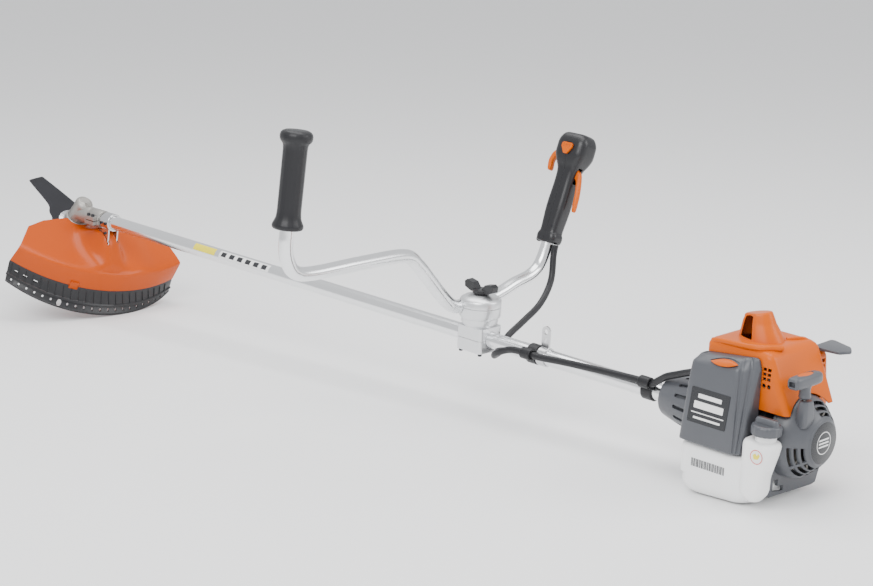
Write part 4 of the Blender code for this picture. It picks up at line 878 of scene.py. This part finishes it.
def arc_between(start, end, radius, t):
    """Point at t along the arc that bulges away from the head, and its outward direction."""
    a, b = Vector(start), Vector(end)
    half = (b - a) / 2
    inward = Vector((-half.y, half.x)).normalized()
    centre = a + half + inward * (radius ** 2 - half.length ** 2) ** 0.5
    first = atan2(a.y - centre.y, a.x - centre.x)
    last = atan2(b.y - centre.y, b.x - centre.x)
    angle = first + t * (last - first)
    out = Vector((cos(angle), sin(angle)))
    return centre + out * radius, out


def guard_wall(t, z, inset):
    """Point on the guard's rear wall at height z, moved inward by inset."""
    crease, crease_out = arc_between((50, -167), (157, 156), 308, t)
    rim, rim_out = arc_between((46, -170), (164, 148), 289, t)
    f = (-12 - z) / 40.0
    out = (crease_out.lerp(rim_out, f)).normalized()
    flat = crease.lerp(rim, f) - out * inset
    return Vector((flat.x, flat.y, z))


def guard_rise(x, y):
    """Swelling of the top plate under the tube, over the foot of the guard's bracket."""
    along = max(0.0, min(1.0, (x - 22) / 66, (165 - x) / 73))
    return 47 * along * along * (3 - 2 * along) / (1 + (y / 25) ** 4)


def guard_shield():
    """Top plate and rear wall of the guard as one moulding."""
    steps, across = 84, 18
    sections = []
    for i in range(steps + 1):
        t = i / steps
        front, back = guard_front(t), guard_wall(t, -12, 9)
        ridge = 3.5 * (0.5 + 0.5 * cos(pi * min(1.0, abs(t - 0.72) / 0.12)))
        plate = []
        for k in range(across + 1):
            f = k / across
            p = front.lerp(back.xy, f)
            z = -10.0 - 0.9 * max(0.0, (f - 0.86) / 0.14) ** 2
            plate.append(Vector((p.x, p.y, z + ridge * min(1.0, f / 0.5) + guard_rise(p.x, p.y))))
        shoulder = [guard_wall(t, z, inset) + Vector((0, 0, ridge * share))
                    for z, inset, share in ((-11.6, 6, 0.8), (-12.6, 3, 0.5), (-14.2, 1, 0.2), (-16.5, 0, 0))]
        wall = [guard_wall(t, z, inset) for z, inset in ((-51.2, 0), (-52, 0.8), (-52, 3), (-17, 3))]
        under = [p - Vector((0, 0, 3)) for p in reversed(plate)]
        under[0] = guard_wall(t, -14.6, 9) + Vector((0, 0, ridge))
        sections.append(plate + shoulder + wall + under)
    leg_slots = [block((72, y, 6), (112, y + 4.4, 60)) for y in (-12.7, 8.3)]
    body = cut(loft(sections), joined(rod(25, -60, 20, segments=96), *leg_slots))
    piece("shield", body, "guard_orange", "machine", ["guard_shield"], HEAD, 42, 0.5)
    tab_t = 0.36
    at, along = guard_wall(tab_t, -47, 0), guard_wall(tab_t + 0.01, -47, 0)
    facing = atan2(along.y - at.y, along.x - at.x)
    place = HEAD @ Matrix.Translation(at) @ Matrix.Rotation(facing, 4, "Z")
    tab = loft([[Vector((x, y, z)) for x, y in rounded(-9 + s, 9 - s, -3.2, 1.2, 1.5, 4)]
                for z, s in ((-13, 1), (-12, 0), (5, 0), (7, 1.5))])
    piece("shield_tab", tab, "guard_orange", "machine", (), place, 40)


def skirt_foot(t, inset):
    """Lower edge of the skirt; its lowest point is on the ground."""
    flat, out = arc_between(*SKIRT_ARC, t)
    flat = flat - out * inset
    return Vector((flat.x, flat.y, SKIRT_Z))


def skirt_point(t, f):
    """Point on the skirt's outer face, f of the way from the guard's rim down to its foot."""
    step, foot = guard_wall(t, -55, 0), skirt_foot(t, 0)
    middle = step.lerp(foot, 0.55) + Vector((0, 0, -3))
    return step.lerp(middle, f / 0.55) if f < 0.55 else middle.lerp(foot, (f - 0.55) / 0.45)


def skirt_out(t):
    """Direction away from the head at t along the skirt."""
    return arc_between(*SKIRT_ARC, t)[1].to_3d()


def through_skirt(tool, t, f):
    """Set a tool drawn along X at a point of the skirt's face."""
    turn = Vector((1, 0, 0)).rotation_difference(skirt_out(t)).to_matrix().to_4x4()
    return moved(tool, Matrix.Translation(skirt_point(t, f)) @ turn)


def guard_skirt():
    """The skirt hangs inside the guard's wall; a rib runs along it and short ribs cross it."""
    steps = 96
    sections = []
    for i in range(steps + 1):
        t = i / steps
        out = skirt_out(t)
        outer = [skirt_point(t, f) + out * lift
                 for f, lift in ((0, 0), (0.2, 0), (0.46, 0), (0.48, 2.2), (0.56, 2.4), (0.6, 0), (0.9, 0),
                                 (0.92, 1.2), (1.0, 0))]
        inner = [skirt_foot(t, 2.5), guard_wall(t, -57, 3).lerp(skirt_foot(t, 2.5), 0.55) - Vector((0, 0, 3)),
                 guard_wall(t, -57, 3)]
        sections.append([guard_wall(t, -40, 3.5), guard_wall(t, -52.4, 3.5), guard_wall(t, -52.4, 1.0)]
                        + outer + inner + [guard_wall(t, -54, 6), guard_wall(t, -40, 6)])
    holes = []
    for i in range(22):
        size, f = (4.6, 0.78) if i == 6 else (2.1, 0.75)
        holes.append(through_skirt(rod(size, -14, 14, "X", segments=20), 0.03 + i * 0.044, f))
    for t in (0.05, 0.1, 0.16):
        holes.append(through_skirt(block((-14, -4, -1.6), (14, 4, 1.6)), t, 0.26))
    piece("skirt", cut(loft(sections), joined(*holes)), "black", "machine", ["guard_skirt"], HEAD, 32, 0.3)
    ribs = []
    for i in range(23):
        t = 0.02 + i * 0.042
        rib = []
        for side in (-0.0022, 0.0022):
            out = skirt_out(t)
            rib.append([skirt_point(t + side, 0.02) - out * 0.5, skirt_point(t + side, 0.04) + out * 1.6,
                        skirt_point(t + side, 0.46) + out * 1.8, skirt_point(t + side, 0.48) - out * 0.5])
        ribs.append(loft(rib))
    piece("skirt_ribs", joined(*ribs), "black", "machine", (), HEAD, 30, 0.3)


def bracket():
    """Clamp ring round the tube, with two legs that go down through the guard's swelling."""
    ring = collar(-1655, -1631, TUBE_HOLE, 17, 0.6)
    outline = cut_corners([Vector(p) for p in ((-1653, 6), (-1633, 6), (-1637, -40), (-1653, -76))], 2)
    outline += cut_corners([Vector(p) for p in ((-1671, -76), (-1657, -40), (-1653, 0))], 2)
    legs = [prism(outline, y, y + 3, "Y") for y in (-12, 9)]
    foot = moved(block((78, -12, -9.7), (100, 12, -4)), HEAD_IN_MACHINE)
    below = moved(block((-100, -100, -200), (300, 100, -7)), HEAD_IN_MACHINE)
    tube = rod(TUBE_HOLE, -1700, -1600, "X", segments=72)
    body = cut(cut(union(ring, *legs), tube), below)
    piece("bracket", union(body, foot), "steel", "machine", ["guard_bracket"], angle=35, bevel=0.5)
    screws = [rod(2.6, y0, y0 + 3, "Y", (-1645, 0, -21), 20) for y0 in (-15, 12)]
    piece("bracket_screws", joined(*screws), "dark_steel", "machine", (), angle=35, bevel=0.4)


def blade():
    """Three square-ended teeth with ground edges; the outline repeats each third of a turn."""
    tooth = [(36, -42), (48, -39), (86, -29.5), (125, -18.5), (BLADE_R - 1, -17), (BLADE_R, -14),
             (BLADE_R, 15), (BLADE_R - 1.5, 18), (66, 18), (54, 22), (46, 30), (26, 35)]
    outline = []
    for third in range(3):
        turn = radians(FIRST_TOOTH + 120 * third)
        for out, across in tooth:
            a = turn + atan2(across, out)
            outline.append(Vector((hypot(out, across) * cos(a), hypot(out, across) * sin(a))))
    outline = cut_corners(outline + [outline[0]], 2)[:-1]
    holes = [rod(12.7, -60, 0, segments=48)]
    for third in range(3):
        a = radians(FIRST_TOOTH + 60 + 120 * third)
        holes.append(rod(4, -60, 0, centre=(31 * cos(a), 31 * sin(a), 0), segments=32))
    body = cut(prism(outline, BLADE_LOW, BLADE_HIGH), joined(*holes))
    piece("blade", body, "dark_steel", "blade", ["brush_blade"], HEAD, 35, 0.5)


def gearbox():
    """Cast bevel-gear housing: slim head, flange over the blade, clamped neck for the tube."""
    to_head = HEAD_IN_MACHINE.inverted()
    body = turned([(-20, 0), (-20, 22.4), (-19.4, 23), (-14.6, 23), (-13.8, 22.2), (-12.5, 20.4),
                   (-11, 20), (0, 19), (3, 18.6), (6, 17.6), (23, 17.5), (26, 17), (28.4, 15.6),
                   (30.4, 13.2), (31.6, 11), (32.4, 9.4), (33, 9), (33, 0)], segments=96)
    neck = moved(turned([(HEAD_X + 6, 0), (HEAD_X + 6, 17.5), (HEAD_X + 40, 17.5), (HEAD_X + 42, 16.6),
                         (HEAD_X + 46, 16.6), (HEAD_X + 48, 17.5), (HEAD_X + 78, 17.5), (HEAD_X + 80, 16.5),
                         (HEAD_X + 80, 0)], "X", segments=96), to_head)
    lug = moved(block((HEAD_X + 50, -26, -8), (HEAD_X + 78, -10, 8)), to_head)
    plug = moved(rod(6, 14, 24, "Z", (HEAD_X + 26, 0, 0), 6), to_head)
    cavity = turned([(-21, 0), (-21, 11.3), (28.5, 11.3), (28.5, 0)], segments=48)
    bore = moved(turned([(HEAD_X + 81, 0), (HEAD_X + 81, 13.3), (-1690, 13.3), (-1690, 11.3),
                         (HEAD_X + 13, 11.3), (HEAD_X + 13, 0)], "X", segments=72), to_head)
    slit = moved(block((HEAD_X + 54, -30, -0.8), (HEAD_X + 90, -12, 0.8)), to_head)
    wide = turned([(-10.5, 0), (-10.5, 12.1), (10, 12.1), (10, 13.6), (20.5, 13.6), (20.5, 0)], segments=48)
    body = cut(union(body, neck, lug, plug), union(cavity, bore, wide), slit)
    piece("gearbox", body, "cast", "machine", ["gearbox_housing"], HEAD, 35, 0.9)


# ---------------------------------------------------------------- controls and clamp

def control_ring(x_half, y_half, z, steps=8):
    radius = min(x_half, y_half) * 0.62
    return [Vector((a, b, z)) for a, b in rounded(-x_half, x_half, -y_half, y_half, radius, steps)]


def controls():
    """Two-piece handle housing with its trigger, lock lever and stop switch."""
    keys = [(0, 32, 30), (3, 38, 31.4), (10, 40, 32), (15, 37.6, 31), (22, 34, 30), (60, 38, 32),
            (100, 36, 31), (118, 37, 31.2), (128, 41, 32.6), (140, 53, 40.4), (150, 60, 45.4),
            (160, 61, 46), (172, 60, 45.6), (180, 54, 41.6), (185, 47, 35.6), (187.4, 39, 28),
            (188, 33, 23)]
    levels = smooth_path(keys, 4)
    solid = loft([control_ring(p.y / 2, p.z / 2, min(188.0, p.x)) for p in levels])
    chamber = loft([control_ring(x, y, z) for x, y, z in ((15, 11, 86), (16, 12.5, 128), (22, 17, 142),
                                                          (26, 20, 152), (26, 20, 170), (21, 15, 181))])
    bore = union(rod(11.5, -10, 90, segments=48), rod(12.5, -10, 12, segments=48))
    slots = joined(block((-60, -6, 134), (-10, 6, 168)), block((8, -4.8, 104), (40, 4.8, 132)),
                   block((-5, -30, 150), (5, -10, 170)))
    body = cut(solid, bore, chamber, slots)
    for name, low, high in (("front", -80, -0.12), ("rear", 0.12, 80)):
        half = overlap(body.copy(), block((low, -80, -40), (high, 80, 240)))
        piece(f"control_{name}", half, "black", "handlebar", [f"control_housing_{name}"], CONTROL, 35, 0.6)
    loop = turned([(-1.6, 3.2), (-1.6, 5.6), (1.6, 5.6), (1.6, 3.2)], "Y", (-20.5, 0, 4), 32, ring=True)
    piece("control_eye", loop, "black", "handlebar", (), CONTROL, 40)
    sunk = [turned([(-16.2 - d, 0), (-16.2 - d, 2.4), (-15.4 - d, 2.8), (-15.4 - d, 0)], "Y", (x, 0, z), 24)
            for x, z, d in ((-9, 62, 0.0), (9, 28, -0.9))]
    piece("control_screws", joined(*sunk), "dark_steel", "handlebar", (), CONTROL, 40)
    body.free()

    trigger = [(-9, 158), (-16, 162), (-30, 160), (-43, 151), (-48, 136), (-45, 120), (-40, 118),
               (-38, 122), (-40, 136), (-34, 145), (-24, 149), (-12, 149)]
    piece("trigger", soft_plate(trigger, 5, 1.0), "orange", "throttle_trigger", ["throttle_trigger"],
          CONTROL, 50)
    lock = [(10, 114), (10, 126), (16, 130), (26, 124), (34, 92), (36, 62), (33, 58), (30, 62),
            (27, 92), (22, 110), (17, 114)]
    piece("lock", soft_plate(lock, 4, 0.8), "orange", "throttle_lock", ["throttle_lock"], CONTROL, 50)
    face = prism([(-3.5, 149.5), (3.5, 149.5), (11, 161), (11, 166), (8, 168.5), (-8, 168.5), (-11, 166),
                  (-11, 161)], -27, -23.4, "Y")
    grips = [block((x - 0.7, -30, 160), (x + 0.7, -26.2, 166)) for x in (-6, -2, 2, 6)]
    switch = union(cut(face, joined(*grips)), block((-2, -24, 155), (2, -17, 159)))
    piece("switch", switch, "orange", "stop_switch", ["stop_switch"], CONTROL, 35, 0.6)


def soft_plate(outline, half, narrow):
    """Plate in the x-z plane, 2 * half thick, with rounded corners and edges."""
    outline = cut_corners([Vector(p) for p in outline] + [Vector(outline[0])], 2)[:-1]
    area = sum(a.x * b.y - b.x * a.y for a, b in zip(outline, outline[1:] + outline[:1]))
    rings = []
    for y, back in ((-half, narrow), (-half + 0.5, narrow * 0.4), (-half + 1.4, 0), (half - 1.4, 0),
                    (half - 0.5, narrow * 0.4), (half, narrow)):
        ring = []
        for i, p in enumerate(outline):
            along = (outline[(i + 1) % len(outline)] - outline[i - 1]).normalized()
            q = p - Vector((along.y, -along.x)) * (back if area > 0 else -back)
            ring.append(Vector((q.x, y, q.y)))
        rings.append(ring)
    return loft(rings)


# ---------------------------------------------------------------- assembly

make_camera()
make_stage()
paint_nodes()
handlebar()
cable()
grip()
tube()
clamp()
shaft_labels()
clamp_screws()
filter_cover()
cover_badge()
latch()
shroud()
starter()
pull_handle()
clutch()
cap()
tank()
tank_labels()
muffler_shell()
bumper()
guard_shield()
guard_skirt()
bracket()
blade()
gearbox()
controls()
